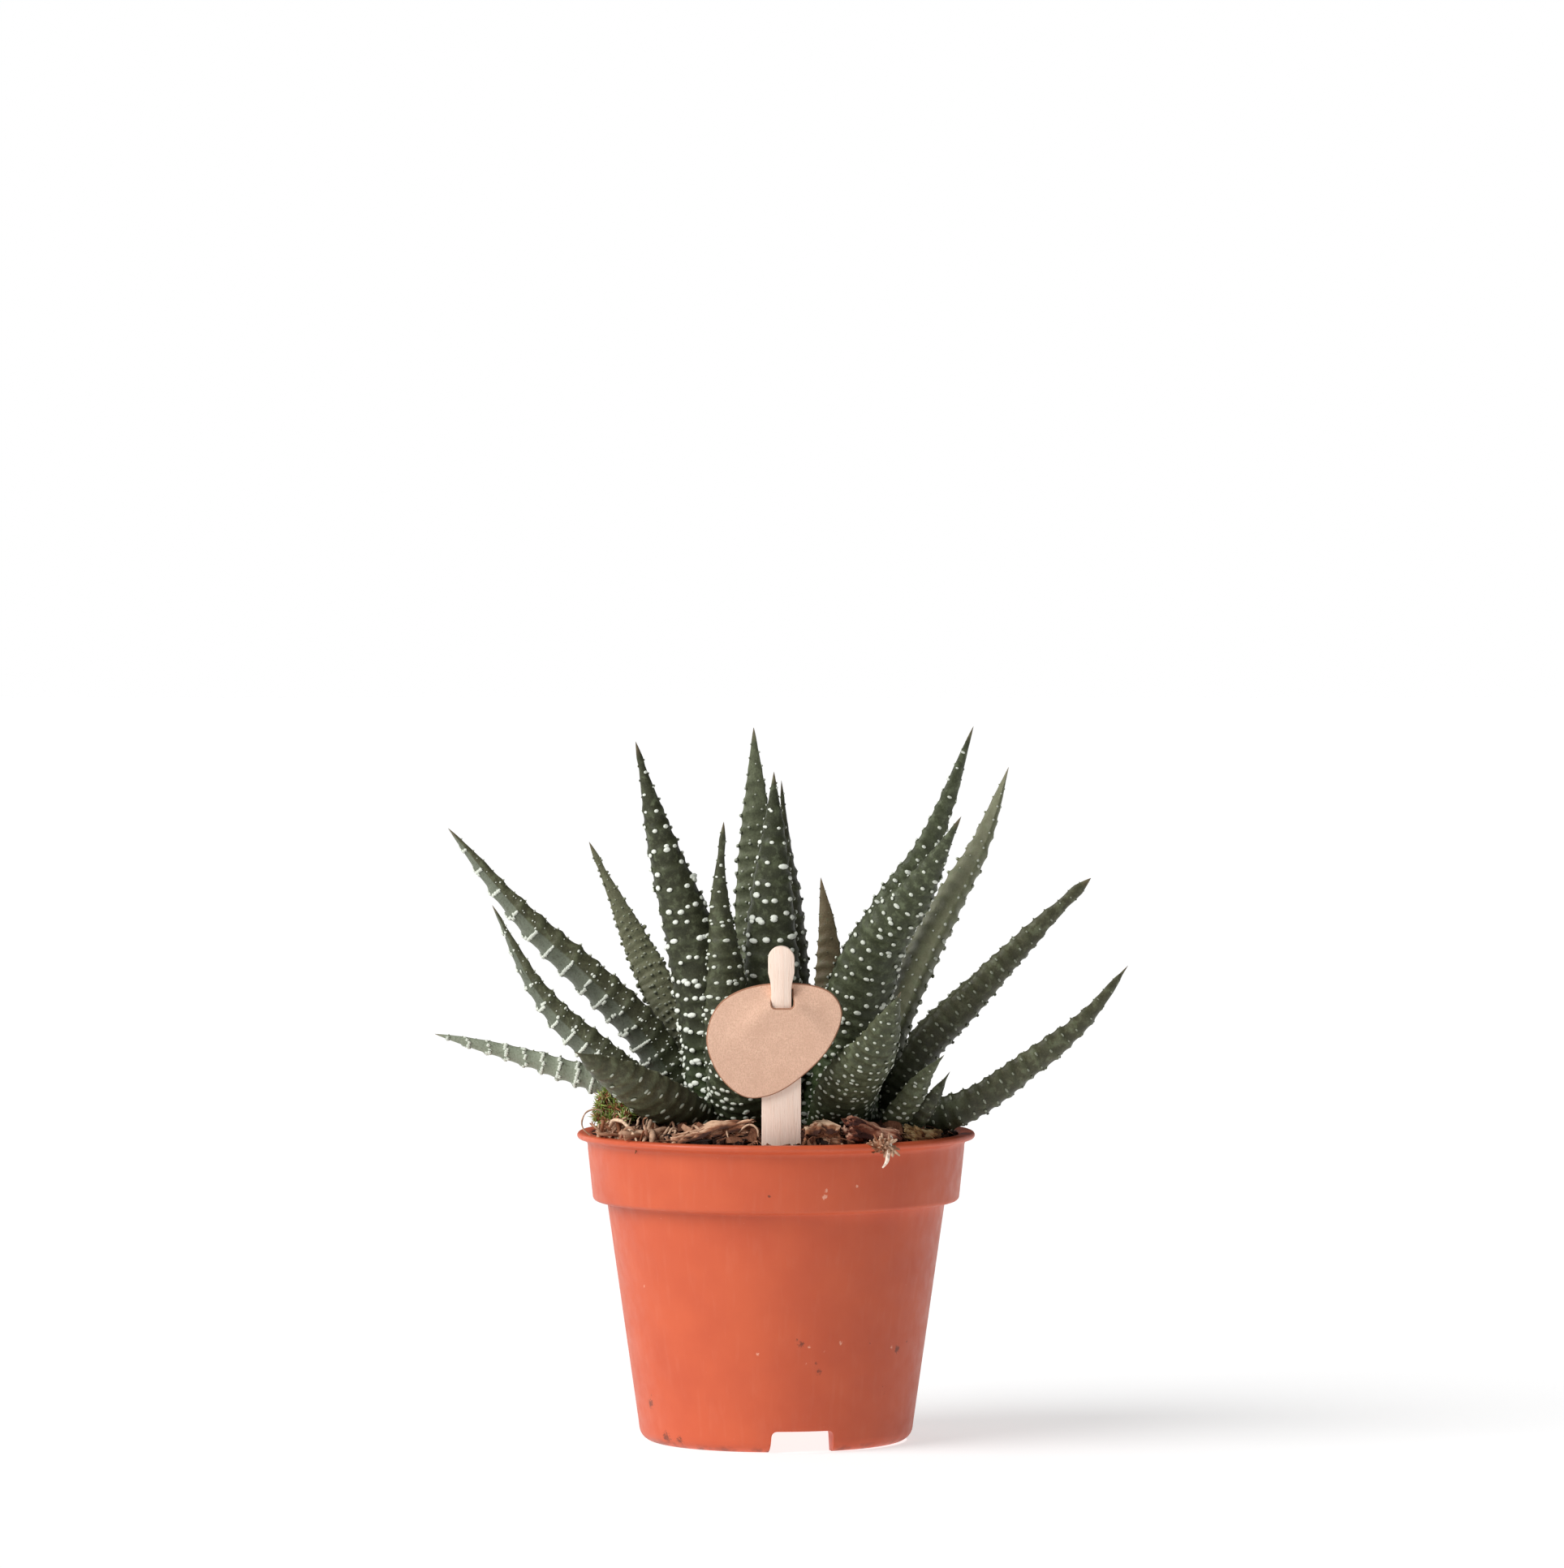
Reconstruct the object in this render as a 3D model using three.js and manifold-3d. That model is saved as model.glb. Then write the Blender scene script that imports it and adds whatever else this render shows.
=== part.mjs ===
import * as THREE from 'three';
import { mergeVertices } from 'three/addons/utils/BufferGeometryUtils.js';
import Module from 'manifold-3d';

// A small potted haworthia: three rosettes of banded leaves in a plastic nursery pot, with a wooden
// label stick that carries a blank kraft card. Millimetres, +Z up, front towards -Y, origin at the
// middle of the pot's base.

// ---- sizes ------------------------------------------------------------------------------------

const clearance = 0.35;         // gap left between pieces that touch

const potHeight = 46.6;
const potFootRadius = 20.65;    // outside, just above the foot's rounding
const potShoulderRadius = 25.5; // outside, just under the collar
const potCollarLow = 27.65;     // outside radii of the collar
const potCollarHigh = 28.5;
const potLipRadius = 30.0;
const potCollarHeight = 10.3;
const potWall = 1.0;
const footHeight = 3.3;         // the floor is raised by this much
const footRounding = 2.2;
const footRingInner = 17.0;
const notchWidth = 9.4;
const notchFlare = 0.2;         // wider by this on each side where it meets the surface
const notchCount = 3;
const notchTurn = 11.3;         // degrees, from straight ahead to the first notch
const drainHoleRadius = 2.4;
const drainHoleRing = 10.5;

const soilTop = 45.2;           // at the wall
const soilCrown = 1.3;          // how much higher the soil stands in the middle
const soilCrumb = 0.45;         // height of the lumps
const soilCrownReach = 28;      // radius at which the crown has fallen to nothing
const soilRings = [23.6, 19.2, 14.8, 10.4, 5.5];

const stemFoot = 38;            // how deep the stems stand
const stemRadius = 3.6;
const stemTaper = 0.7;          // radius at the top, as a share of the radius at the foot

const bandSpacing = 5.0;        // between two rows of tubercles along a leaf
const tubercleHeight = 0.55;
const toothLength = 0.45;
const reliefShare = 0.09;       // neither stands out by more than this share of the local width
const leafDepth = 0.43;         // outer side's rise, as a share of the width
const leafInnerDepth = 0.09;    // inner side's rise
const tipWidth = 1.0;           // a leaf gets no thinner than this
const tipDepth = 0.5;
const tipInnerDepth = 0.25;
const outerColumns = 6;
const innerColumns = 2;

const stickAt = [0.8, -23.5, 46];   // where the stick leaves the soil
const stickTilt = 6;                // degrees towards the front
const stickWidth = 5.85;
const stickThickness = 1.0;
const stickDepth = 32;              // below the soil's surface
const pointInset = 1.2;             // the blunt lower end: narrower by this on each side,
const pointRise = 3;                // over this height
const shoulderRise = 2.2;           // the blade's rounded step into the neck
const neckWidth = 3.0;
const headWidth = 3.9;
const headTop = 30.2;               // heights along the stick from the soil's surface
const neckTop = 24.6;
const neckFoot = 19.2;

const cardThickness = 0.6;
const slotWidth = 3.7;
const slotFoot = 20.1;              // heights along the stick, as above
const slotHead = 23.6;
const slotEase = 0.2;               // the card starts to cross the stick this far below its slot
const cardFoot = 6;                 // heights between which its bent strip is made, before trimming
const cardHead = 26;

// ---- colours ----------------------------------------------------------------------------------

const finish = (color, roughness) => new THREE.MeshStandardMaterial({ color, roughness, metalness: 0 });
const colours = {
  pot: finish(0xcb5e44, 0.42),
  soil: finish(0x4a372c, 0.95),
  stem: finish(0x6d7a4c, 0.8),
  leaf: finish(0x4c5a44, 0.55),
  wood: finish(0xf2ddc2, 0.7),
  card: finish(0xdfb493, 0.85),
  bark: finish(0x6e4630, 0.9),
  palewood: finish(0xb5935f, 0.85),
  moss: finish(0x6c8c34, 0.95),
};

// ---- solids: weld, cut and give back --------------------------------------------------------------

const wasm = await Module();
wasm.setup();

const radians = THREE.MathUtils.degToRad;

/* A closed solid from any closed geometry, whichever way its triangles are wound. */
function solidOf(geometry) {
  const bare = geometry.clone();
  bare.deleteAttribute('normal');
  bare.deleteAttribute('uv');
  const welded = mergeVertices(bare, 1e-4);
  const corners = welded.attributes.position.array;
  const index = welded.index.array;
  const triangles = [];
  let volume = 0;
  const [a, b, c] = [new THREE.Vector3(), new THREE.Vector3(), new THREE.Vector3()];
  for (let i = 0; i < index.length; i += 3) {
    const [p, q, r] = [index[i], index[i + 1], index[i + 2]];
    if (p === q || q === r || r === p) continue;
    triangles.push([p, q, r]);
    a.fromArray(corners, 3 * p);
    b.fromArray(corners, 3 * q);
    c.fromArray(corners, 3 * r);
    volume += a.dot(b.cross(c));
  }
  const facingOut = volume > 0 ? triangles : triangles.map(([p, q, r]) => [p, r, q]);
  return new wasm.Manifold(new wasm.Mesh({
    numProp: 3,
    vertProperties: new Float32Array(corners),
    triVerts: new Uint32Array(facingOut.flat()),
  }));
}

function geometryOf(solid) {
  const mesh = solid.getMesh();
  const geometry = new THREE.BufferGeometry();
  geometry.setAttribute('position', new THREE.BufferAttribute(mesh.vertProperties, 3));
  geometry.setIndex(new THREE.BufferAttribute(mesh.triVerts, 1));
  geometry.computeVertexNormals();
  return geometry;
}

function without(solid, cutters) {
  return cutters.reduce((rest, cutter) => rest.subtract(cutter), solid);
}

/* The main body of a cut solid, with loose scraps dropped. */
function mainBody(solid) {
  return solid.decompose().sort((one, other) => other.volume() - one.volume())[0];
}

/* Repeatable noise between -1 and 1. */
function noise(...seeds) {
  const mixed = seeds.reduce((sum, seed, place) => sum + seed * (12.9898 + 65.35 * place), 4.1);
  return 2 * (Math.abs(Math.sin(mixed) * 43758.5453) % 1) - 1;
}

function lathe(profile, segments) {
  const geometry = new THREE.LatheGeometry(profile.map((p) => new THREE.Vector2(...p)), segments);
  return geometry.rotateX(Math.PI / 2);
}

function arc(centre, radius, from, to, steps) {
  return Array.from({ length: steps + 1 }, (_, step) => {
    const angle = radians(from + (to - from) * step / steps);
    return [centre[0] + radius * Math.cos(angle), centre[1] + radius * Math.sin(angle)];
  });
}

// ---- pot --------------------------------------------------------------------------------------

const collarFoot = potHeight - potCollarHeight;

/* Inside radius of the pot's body at a height. */
function potInside(z) {
  const share = (z - footHeight) / (collarFoot - footHeight);
  return potFootRadius + (potShoulderRadius - potFootRadius) * share - potWall;
}

function potSolid() {
  const floorTop = footHeight + potWall;
  const profile = [
    [0, footHeight],
    [footRingInner, footHeight],
    [footRingInner, 0],
    ...arc([potFootRadius - footRounding, footRounding], footRounding, -90, -8, 3),
    [potShoulderRadius, collarFoot],
    ...arc([potCollarLow - 1, collarFoot + 1], 1, -60, 0, 2),
    [potCollarHigh, potHeight - 1.1],
    ...arc([potLipRadius - 0.5, potHeight - 0.5], 0.5, -70, 90, 2),
    [potCollarHigh - potWall, potHeight - 0.7],
    [potCollarLow - potWall, collarFoot + potWall],
    [potInside(collarFoot), collarFoot + potWall - 0.2],
    [potInside(floorTop), floorTop],
    [0, floorTop],
  ];
  const notch = new THREE.Shape();
  notch.moveTo(-notchWidth / 2 - notchFlare, -1);
  notch.lineTo(-notchWidth / 2, footHeight - 0.8);
  notch.quadraticCurveTo(-notchWidth / 2 + 0.1, footHeight, -notchWidth / 2 + 1, footHeight);
  notch.lineTo(notchWidth / 2 - 1, footHeight);
  notch.quadraticCurveTo(notchWidth / 2 - 0.1, footHeight, notchWidth / 2, footHeight - 0.8);
  notch.lineTo(notchWidth / 2 + notchFlare, -1);
  const cutters = [];
  for (let turn = 0; turn < notchCount; turn++) {
    const cut = new THREE.ExtrudeGeometry(notch, { depth: 10, bevelEnabled: false, curveSegments: 3 });
    cut.rotateX(Math.PI / 2).translate(0, -footRingInner + 3, 0);
    cutters.push(solidOf(cut.rotateZ(radians(notchTurn + turn * 360 / notchCount))));
    const hole = new THREE.CylinderGeometry(drainHoleRadius, drainHoleRadius, 4, 12).rotateX(Math.PI / 2);
    hole.translate(drainHoleRing, 0, footHeight).rotateZ(radians(notchTurn + turn * 360 / notchCount));
    cutters.push(solidOf(hole));
  }
  return without(solidOf(lathe(profile, 32)), cutters);
}

// ---- leaves -----------------------------------------------------------------------------------

// path: the line through the middle of the leaf, from base to tip. width: at the base.
// faces: compass direction of the outer side in degrees, 0 to the right and -90 to the front.
// full and power: the share of the length, counted from the tip, after which the leaf has its full
// width, and how slowly it gets there. Each leaf is cut clear of those before it in the list.
const leaves = [
  { name: 'leaf_centre_front', width: 8.4, faces: -90, full: 0.7, power: 0.95,
    path: [[-0.3, -1, 48], [-0.5, -4.5, 62], [-0.7, -7.5, 78], [-0.4, -9, 90], [-0.3, -10, 101.2]] },
  { name: 'leaf_centre_tall', width: 7.8, faces: 95, full: 0.75, power: 0.9,
    path: [[-1.5, 8.5, 48], [-2.3, 11, 65], [-3, 12.5, 83], [-3.1, 13, 94], [-3.4, 13, 107.1]] },
  { name: 'leaf_left_upright', width: 9.6, faces: -100, full: 0.85, power: 1.05,
    path: [[-8.2, -3, 48], [-9.8, -5.5, 61.5], [-12.6, -7, 75], [-17.2, -8.5, 90.3], [-21, -9.5, 105.7]] },
  { name: 'leaf_right_broad', width: 10.2, faces: -75, full: 0.75, power: 1.05,
    path: [[10.3, -6, 47.5], [12.0, -9.5, 64], [15.6, -13.5, 75.6], [21.2, -19, 83.8], [27.4, -25, 95.1]] },
  { name: 'leaf_centre_narrow', width: 6.6, faces: -20, full: 0.7, power: 1.0,
    path: [[2.6, 4.5, 48], [3.2, 4.5, 64], [2.8, 3.5, 76.5], [1.6, 2, 88.8], [0.8, 1.5, 99.5]] },
  { name: 'leaf_left_thin', width: 7.4, faces: -82, full: 0.85, power: 1.2,
    path: [[-5.8, -6.5, 48], [-6.9, -9.5, 60], [-7.5, -11, 72], [-8.4, -11.5, 83], [-7.8, -12, 93.8]] },
  { name: 'leaf_right_big', width: 7.9, faces: -35, full: 1.0, power: 0.8,
    path: [[6.8, 0.5, 48.5], [10.4, 1, 66.6], [16.3, 2, 78.7], [23.6, 3, 90.3], [29.8, 3, 107.6]] },
  { name: 'leaf_left_back', width: 5.1, faces: 108, full: 0.6, power: 1.2,
    path: [[-9.2, 3, 49], [-13.5, 5, 58.2], [-17.3, 8, 66.2], [-21.7, 10.5, 75.2], [-28.4, 11, 89.8]] },
  { name: 'leaf_left_high', width: 7.8, faces: -140, full: 1.1, power: 0.8,
    path: [[-13, 3.5, 48.5], [-19.5, 3, 60.1], [-28.8, 2.5, 69.8], [-37.6, 2.5, 78], [-49.5, 3, 92.2]] },
  { name: 'leaf_right_back', width: 6.8, faces: 42, full: 0.7, power: 0.85,
    path: [[15, 3.5, 48], [18.2, 5.5, 62.6], [25, 7.5, 78], [31.2, 9, 89.6], [35.3, 10, 101.2]] },
  { name: 'leaf_right_arching', width: 6.8, faces: -38, full: 1.1, power: 0.75,
    path: [[17.4, -0.5, 47.5], [22.8, -1, 59.1], [28.6, 0, 65.3], [38.5, 1.5, 75.9], [47.5, 2, 84.7]] },
  { name: 'leaf_small_brown', width: 5.0, faces: 82, full: 0.75, power: 0.85,
    path: [[6.2, 8.5, 49], [7.8, 10.5, 62], [8.1, 12, 74], [6.8, 12.5, 84.3]] },
  { name: 'leaf_left_middle', width: 7.3, faces: -148, full: 1.05, power: 0.95,
    path: [[-14, -4, 48], [-25.8, -4.5, 57.5], [-35.2, -4, 67], [-42.7, -3, 80.9]] },
  { name: 'leaf_front_right', width: 10.0, faces: -68, full: 0.75, power: 1.0,
    path: [[9.6, -9, 47.4], [11.4, -18, 54.6], [14.8, -26, 60.6], [18.4, -34, 69.7]] },
  { name: 'leaf_behind_tag', width: 11, faces: -95, full: 0.7, power: 0.9,
    path: [[-4, -8, 47], [-4.8, -12.5, 52.5], [-5.2, -16, 58], [-5, -18.5, 66]] },
  { name: 'leaf_front_left', width: 9.6, faces: -128, full: 0.75, power: 0.85,
    path: [[-11, -8, 47], [-18.3, -15, 52.4], [-22.6, -19, 55.5], [-29.8, -25.5, 60.3]] },
  { name: 'leaf_left_low', width: 5.2, faces: -165, full: 1.3, power: 0.7,
    path: [[-15, 5, 48.8], [-24, 7, 52.3], [-33, 8, 55.4], [-40.8, 8.5, 57.8], [-51.8, 9, 60.7]] },
  { name: 'leaf_right_low', width: 6.2, faces: -25, full: 0.95, power: 0.7,
    path: [[18.5, -6, 47.5], [28.8, -7, 50.6], [38.4, -7, 57.2], [46, -7, 63.4], [52.8, -7, 72]] },
  { name: 'leaf_front_right_small', width: 5.4, faces: -50, full: 0.8, power: 1.0,
    path: [[16.5, -10, 46.8], [19.3, -14.5, 51.2], [22.2, -18.5, 56.2], [25, -22, 59.6]] },
  { name: 'leaf_front_right_dark', width: 4.2, faces: -30, full: 0.8, power: 1.0,
    path: [[20.2, -11, 47.4], [23.3, -13, 52.2], [26, -14, 56.6]] },
  { name: 'leaf_heart_left_front', width: 5.0, faces: -95, full: 0.6, power: 1.1,
    path: [[-11.3, 0.2, 49.5], [-11.9, 0, 60], [-13.2, -0.3, 71.5]] },
  { name: 'leaf_heart_left_back', width: 4.6, faces: 25, full: 0.6, power: 1.1,
    path: [[-9.9, 1.9, 49.5], [-9.5, 1.8, 57], [-9.9, 1.2, 66]] },
  { name: 'leaf_heart_centre_front', width: 4.8, faces: -115, full: 0.6, power: 1.1,
    path: [[-0.8, 3.6, 49.5], [-1.1, 3.0, 62], [-1.2, 2.6, 76]] },
  { name: 'leaf_heart_centre_back', width: 4.4, faces: 100, full: 0.6, power: 1.1,
    path: [[-0.4, 6.2, 49.5], [-0.6, 6.9, 61], [-1.2, 7.0, 72.5]] },
  { name: 'leaf_heart_right_front', width: 5.0, faces: -80, full: 0.6, power: 1.1,
    path: [[12, -1.6, 49.5], [12.9, -2.4, 60], [14.6, -4, 71]] },
  { name: 'leaf_heart_right_back', width: 4.6, faces: 60, full: 0.6, power: 1.1,
    path: [[12.7, 1.1, 49.5], [13.7, 1.8, 58], [15.4, 2.2, 67]] },
  { name: 'leaf_back_left', width: 7.2, faces: 108, full: 0.85, power: 0.95,
    path: [[-10.5, 8, 47.5], [-11.8, 15, 60], [-13.8, 22.5, 73], [-16.4, 29, 84]] },
  { name: 'leaf_back_left_high', width: 6.6, faces: 140, full: 0.85, power: 0.85,
    path: [[-14, 9, 47.8], [-19.5, 15, 59.8], [-28.8, 20.5, 69.1], [-37, 26, 76.2]] },
  { name: 'leaf_back_left_low', width: 6.4, faces: 135, full: 0.95, power: 0.8,
    path: [[-13, 13, 47], [-20, 18.5, 52.4], [-26, 23.5, 55.9], [-31.5, 28, 59.6]] },
  { name: 'leaf_back_centre', width: 7.6, faces: 92, full: 0.85, power: 0.9,
    path: [[-1, 13, 47.5], [-0.9, 21, 60], [-0.8, 28, 72], [-0.6, 34, 83.6]] },
  { name: 'leaf_back_right', width: 7.4, faces: 75, full: 0.85, power: 0.9,
    path: [[12.5, 6.5, 47.5], [13.6, 14, 59], [16, 21, 69], [19.2, 27, 77.6]] },
  { name: 'leaf_back_right_arching', width: 6.4, faces: 48, full: 0.95, power: 0.8,
    path: [[17.5, 7, 47.5], [22.2, 13, 58.4], [28.2, 18.5, 65], [35.8, 23, 72.6]] },
  { name: 'leaf_back_low', width: 8.0, faces: 85, full: 0.9, power: 0.8,
    path: [[5, 14, 47], [6, 21, 52.2], [6.4, 27.5, 57.2], [6, 33.5, 62.2]] },
  { name: 'leaf_back_low_left', width: 7.8, faces: 98, full: 0.9, power: 0.8,
    path: [[-6.5, 14.5, 47], [-8, 21, 52.4], [-9, 27, 57.6], [-9.3, 32, 63]] },
];

/* A leaf's closed surface: rows of corners from base to tip, flat-sided inside and domed outside.
   Every second row carries tubercles, staggered from row to row, and a tooth on each margin. A swollen
   copy, bigger by the clearance and without relief, cuts its neighbours clear. */
function leafGeometry({ path, width, faces, full, power }, swollen = false) {
  const spine = new THREE.CatmullRomCurve3(path.map((p) => new THREE.Vector3(...p)), false, 'centripetal');
  const rows = 2 * Math.round(spine.getLength() / bandSpacing);
  const facing = new THREE.Vector3(Math.cos(radians(faces)), Math.sin(radians(faces)), 0);
  const grown = swollen ? clearance : 0;
  const sides = outerColumns + innerColumns;
  const corners = [];
  const place = (centre, across, x, outward, y) => {
    corners.push(...centre.clone().addScaledVector(across, x).addScaledVector(outward, y));
  };
  for (let row = 0; row < rows; row++) {
    const along = row / rows;
    const tangent = spine.getTangentAt(along);
    const centre = spine.getPointAt(along).addScaledVector(tangent, row === 0 ? -grown : 0);
    const outward = facing.clone().addScaledVector(tangent, -facing.dot(tangent)).normalize();
    const across = new THREE.Vector3().crossVectors(outward, tangent);
    const reach = Math.min(1, ((1 - along) / full) ** power);
    const local = Math.max(tipWidth, width * Math.sin(reach * Math.PI / 2));
    const half = local / 2;
    const depth = Math.max(tipDepth, local * leafDepth);
    const inner = Math.max(tipInnerDepth, local * leafInnerDepth);
    centre.addScaledVector(outward, (inner - depth) / 2);
    const banded = row % 2 === 1 && !swollen;
    const lift = swollen ? tubercleHeight : 0;
    for (let column = 0; column < outerColumns; column++) {
      const angle = Math.PI * column / outerColumns;
      const raised = banded && column > 0 && (column + (row - 1) / 2) % 2 === 0;
      const bump = grown + lift + (raised ? Math.min(tubercleHeight, local * reliefShare) : 0);
      const tooth = column === 0 && banded ? Math.min(toothLength, local * reliefShare) : 0;
      const x = -(half + bump + tooth) * Math.cos(angle);
      place(centre, across, x, outward, (depth + bump) * Math.sin(angle));
    }
    for (let column = 0; column < innerColumns; column++) {
      const share = column / innerColumns;
      const tooth = column === 0 && banded ? Math.min(toothLength, local * reliefShare) : 0;
      const x = (half + grown + lift + tooth) * (1 - 2 * share);
      const y = column === 0 ? 0 : -(inner + grown) * Math.sin(Math.PI * share);
      place(centre, across, x, outward, y);
    }
  }
  const triangles = [];
  for (let row = 0; row + 1 < rows; row++) {
    for (let side = 0; side < sides; side++) {
      const next = (side + 1) % sides;
      const [a, b] = [row * sides + side, row * sides + next];
      triangles.push(a, b, b + sides, a, b + sides, a + sides);
    }
  }
  const [root, tip] = [rows * sides, rows * sides + 1];
  const point = spine.getPointAt(1).addScaledVector(spine.getTangentAt(1), grown);
  corners.push(...spine.getPointAt(0).addScaledVector(spine.getTangentAt(0), -grown), ...point);
  for (let side = 0; side < sides; side++) {
    const next = (side + 1) % sides;
    triangles.push(root, next, side);
    triangles.push(tip, (rows - 1) * sides + side, (rows - 1) * sides + next);
  }
  const geometry = new THREE.BufferGeometry();
  geometry.setAttribute('position', new THREE.Float32BufferAttribute(corners, 3));
  geometry.setIndex(triangles);
  return geometry;
}

// ---- stems, stick and tag -----------------------------------------------------------------------

const stems = [
  { name: 'stem_left', at: [-11, 1.5], top: 51 },
  { name: 'stem_centre', at: [-0.3, 5], top: 51.5 },
  { name: 'stem_right', at: [12.5, -0.3], top: 51 },
];

/* A short stem, or its hole when grown. */
function stemSolid({ at, top }, grown = 0) {
  const height = top - stemFoot + 2 * grown;
  const stem = new THREE.CylinderGeometry(stemRadius * stemTaper + grown, stemRadius + grown, height, 12);
  return solidOf(stem.rotateX(Math.PI / 2).translate(at[0], at[1], (top + stemFoot) / 2));
}

/* The label stick's flat outline, standing on its blunt point, extruded to its thickness. */
function stickGeometry() {
  const [blade, neck, head] = [stickWidth / 2, neckWidth / 2, headWidth / 2];
  const headFoot = neckTop + 1.6;
  const outline = new THREE.Shape();
  outline.moveTo(-blade + pointInset, -stickDepth);
  outline.lineTo(blade - pointInset, -stickDepth);
  outline.lineTo(blade, -stickDepth + pointRise);
  outline.lineTo(blade, neckFoot - shoulderRise);
  outline.quadraticCurveTo(blade, neckFoot - 0.6, neck, neckFoot);
  outline.lineTo(neck, neckTop - 1);
  outline.quadraticCurveTo(neck, neckTop, head, headFoot);
  outline.absarc(0, headTop - head, head, 0, Math.PI, false);
  outline.lineTo(-head, headFoot);
  outline.quadraticCurveTo(-neck, neckTop, -neck, neckTop - 1);
  outline.lineTo(-neck, neckFoot);
  outline.quadraticCurveTo(-blade, neckFoot - 0.6, -blade, neckFoot - shoulderRise);
  outline.lineTo(-blade, -stickDepth + pointRise);
  const options = { depth: stickThickness, bevelEnabled: false, curveSegments: 6 };
  const flat = new THREE.ExtrudeGeometry(outline, options);
  return flat.rotateX(Math.PI / 2).translate(0, stickThickness / 2, 0);
}

// The tag's outline, as [across, height along the stick].
const tagOutline = [
  [-11.1, 16.2], [-9.6, 21.0], [-5.8, 23.6], [2.2, 24.5], [7.3, 23.2],
  [9.0, 20.3], [7.1, 15.1], [1.4, 9.9], [-5.1, 7.8], [-8.8, 10.2],
];

/* The card: in front of the blade below, through its own slot, and behind the neck above. */
function tagSolid() {
  const stand = stickThickness / 2 + clearance + cardThickness / 2;
  const middle = [];
  for (let height = cardFoot; height <= cardHead; height += 1) {
    const share = THREE.MathUtils.smoothstep(height, slotFoot - slotEase, slotHead + slotEase);
    middle.push(new THREE.Vector2(stand * (2 * share - 1), height));
  }
  const offset = (side) => middle.map((point, place) => {
    const before = middle[Math.max(0, place - 1)];
    const after = middle[Math.min(middle.length - 1, place + 1)];
    const along = after.clone().sub(before).normalize();
    return new THREE.Vector2(-along.y, along.x).multiplyScalar(side * cardThickness / 2).add(point);
  });
  const profile = new THREE.Shape([...offset(1), ...offset(-1).reverse()]);
  const ribbon = new THREE.ExtrudeGeometry(profile, { depth: 30, bevelEnabled: false });
  ribbon.rotateX(Math.PI / 2).rotateZ(Math.PI / 2).translate(-15, 0, 0);
  const rim = new THREE.CatmullRomCurve3(tagOutline.map(([x, z]) => new THREE.Vector3(x, z, 0)), true);
  const shape = new THREE.Shape(rim.getPoints(40).slice(0, -1).map(({ x, y }) => new THREE.Vector2(x, y)));
  const prism = new THREE.ExtrudeGeometry(shape, { depth: 20, bevelEnabled: false });
  prism.rotateX(Math.PI / 2).translate(0, 10, 0);
  const slot = new THREE.BoxGeometry(slotWidth, 20, slotHead - slotFoot);
  slot.translate(0, 0, (slotHead + slotFoot) / 2);
  return solidOf(ribbon).intersect(solidOf(prism)).subtract(solidOf(slot));
}

const labelTurn = new THREE.Matrix4().makeRotationX(radians(stickTilt)).setPosition(...stickAt);

// ---- soil and what lies on it ---------------------------------------------------------------------

const chips = [
  {
    name: 'bark_front_left', at: [-9.3, -21, 47.3],
    size: [11, 3.4, 2.4], turn: 8, lean: 12, colour: 'bark',
  },
  {
    name: 'bark_front_right', at: [6.6, -22.2, 47.2],
    size: [5.2, 3.4, 3.4], turn: 12, lean: 6, colour: 'bark',
  },
  {
    name: 'bark_reddish', at: [14.4, -19.8, 48.1],
    size: [7.6, 3.6, 4.4], turn: 30, lean: -10, colour: 'bark',
  },
  {
    name: 'chip_yellowish', at: [21.9, -13, 47],
    size: [6.2, 2.6, 2.2], turn: 58, lean: -4, colour: 'palewood',
  },
  {
    name: 'bark_back_left', at: [-20.8, 12, 46.6],
    size: [6.5, 4, 2.6], turn: 62, lean: 5, colour: 'bark',
  },
  {
    name: 'bark_back_right', at: [15.5, 19, 46.6],
    size: [7.4, 4, 2.6], turn: -35, lean: -6, colour: 'bark',
  },
];

/* A splintered chip: a small block with its corners pushed about. Grown, it is its own pocket. */
function chipSolid({ at, size, turn, lean }, grown = 0) {
  const block = new THREE.BoxGeometry(...size, 3, 1, 1);
  const corner = new THREE.Vector3();
  const spots = block.attributes.position;
  for (let i = 0; i < spots.count; i++) {
    corner.fromBufferAttribute(spots, i);
    const seed = [corner.x, corner.y + 3 * at[0], corner.z];
    const push = corner.clone().normalize().multiplyScalar(grown * 1.5);
    corner.x += push.x;
    corner.y += push.y + 0.14 * size[1] * noise(...seed);
    corner.z += push.z + 0.16 * size[2] * noise(...seed, 7);
    spots.setXYZ(i, corner.x, corner.y, corner.z);
  }
  block.rotateY(radians(-lean)).rotateZ(radians(turn)).translate(...at);
  return solidOf(block);
}

const mossAt = [-24, -6.5, 48.9];
const mossReach = [2.5, 3.6, 3.8];  // half its size each way
const mossShag = 0.16;              // how far its points stand out, as a share of that

/* A tuft of moss: a round lump whose surface stands up in little points. */
function mossSolid(grown = 0) {
  const lump = new THREE.IcosahedronGeometry(1, 2);
  const corner = new THREE.Vector3();
  const spots = lump.attributes.position;
  for (let i = 0; i < spots.count; i++) {
    corner.fromBufferAttribute(spots, i);
    const key = [corner.x, corner.y, corner.z].map((value) => Math.round(value * 100));
    corner.multiplyScalar(1 + mossShag * (grown ? 1 : noise(...key)));
    const [x, y, z] = mossReach.map((reach) => reach + grown);
    spots.setXYZ(i, corner.x * x, corner.y * y, corner.z * z);
  }
  return solidOf(lump.translate(...mossAt));
}

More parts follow.
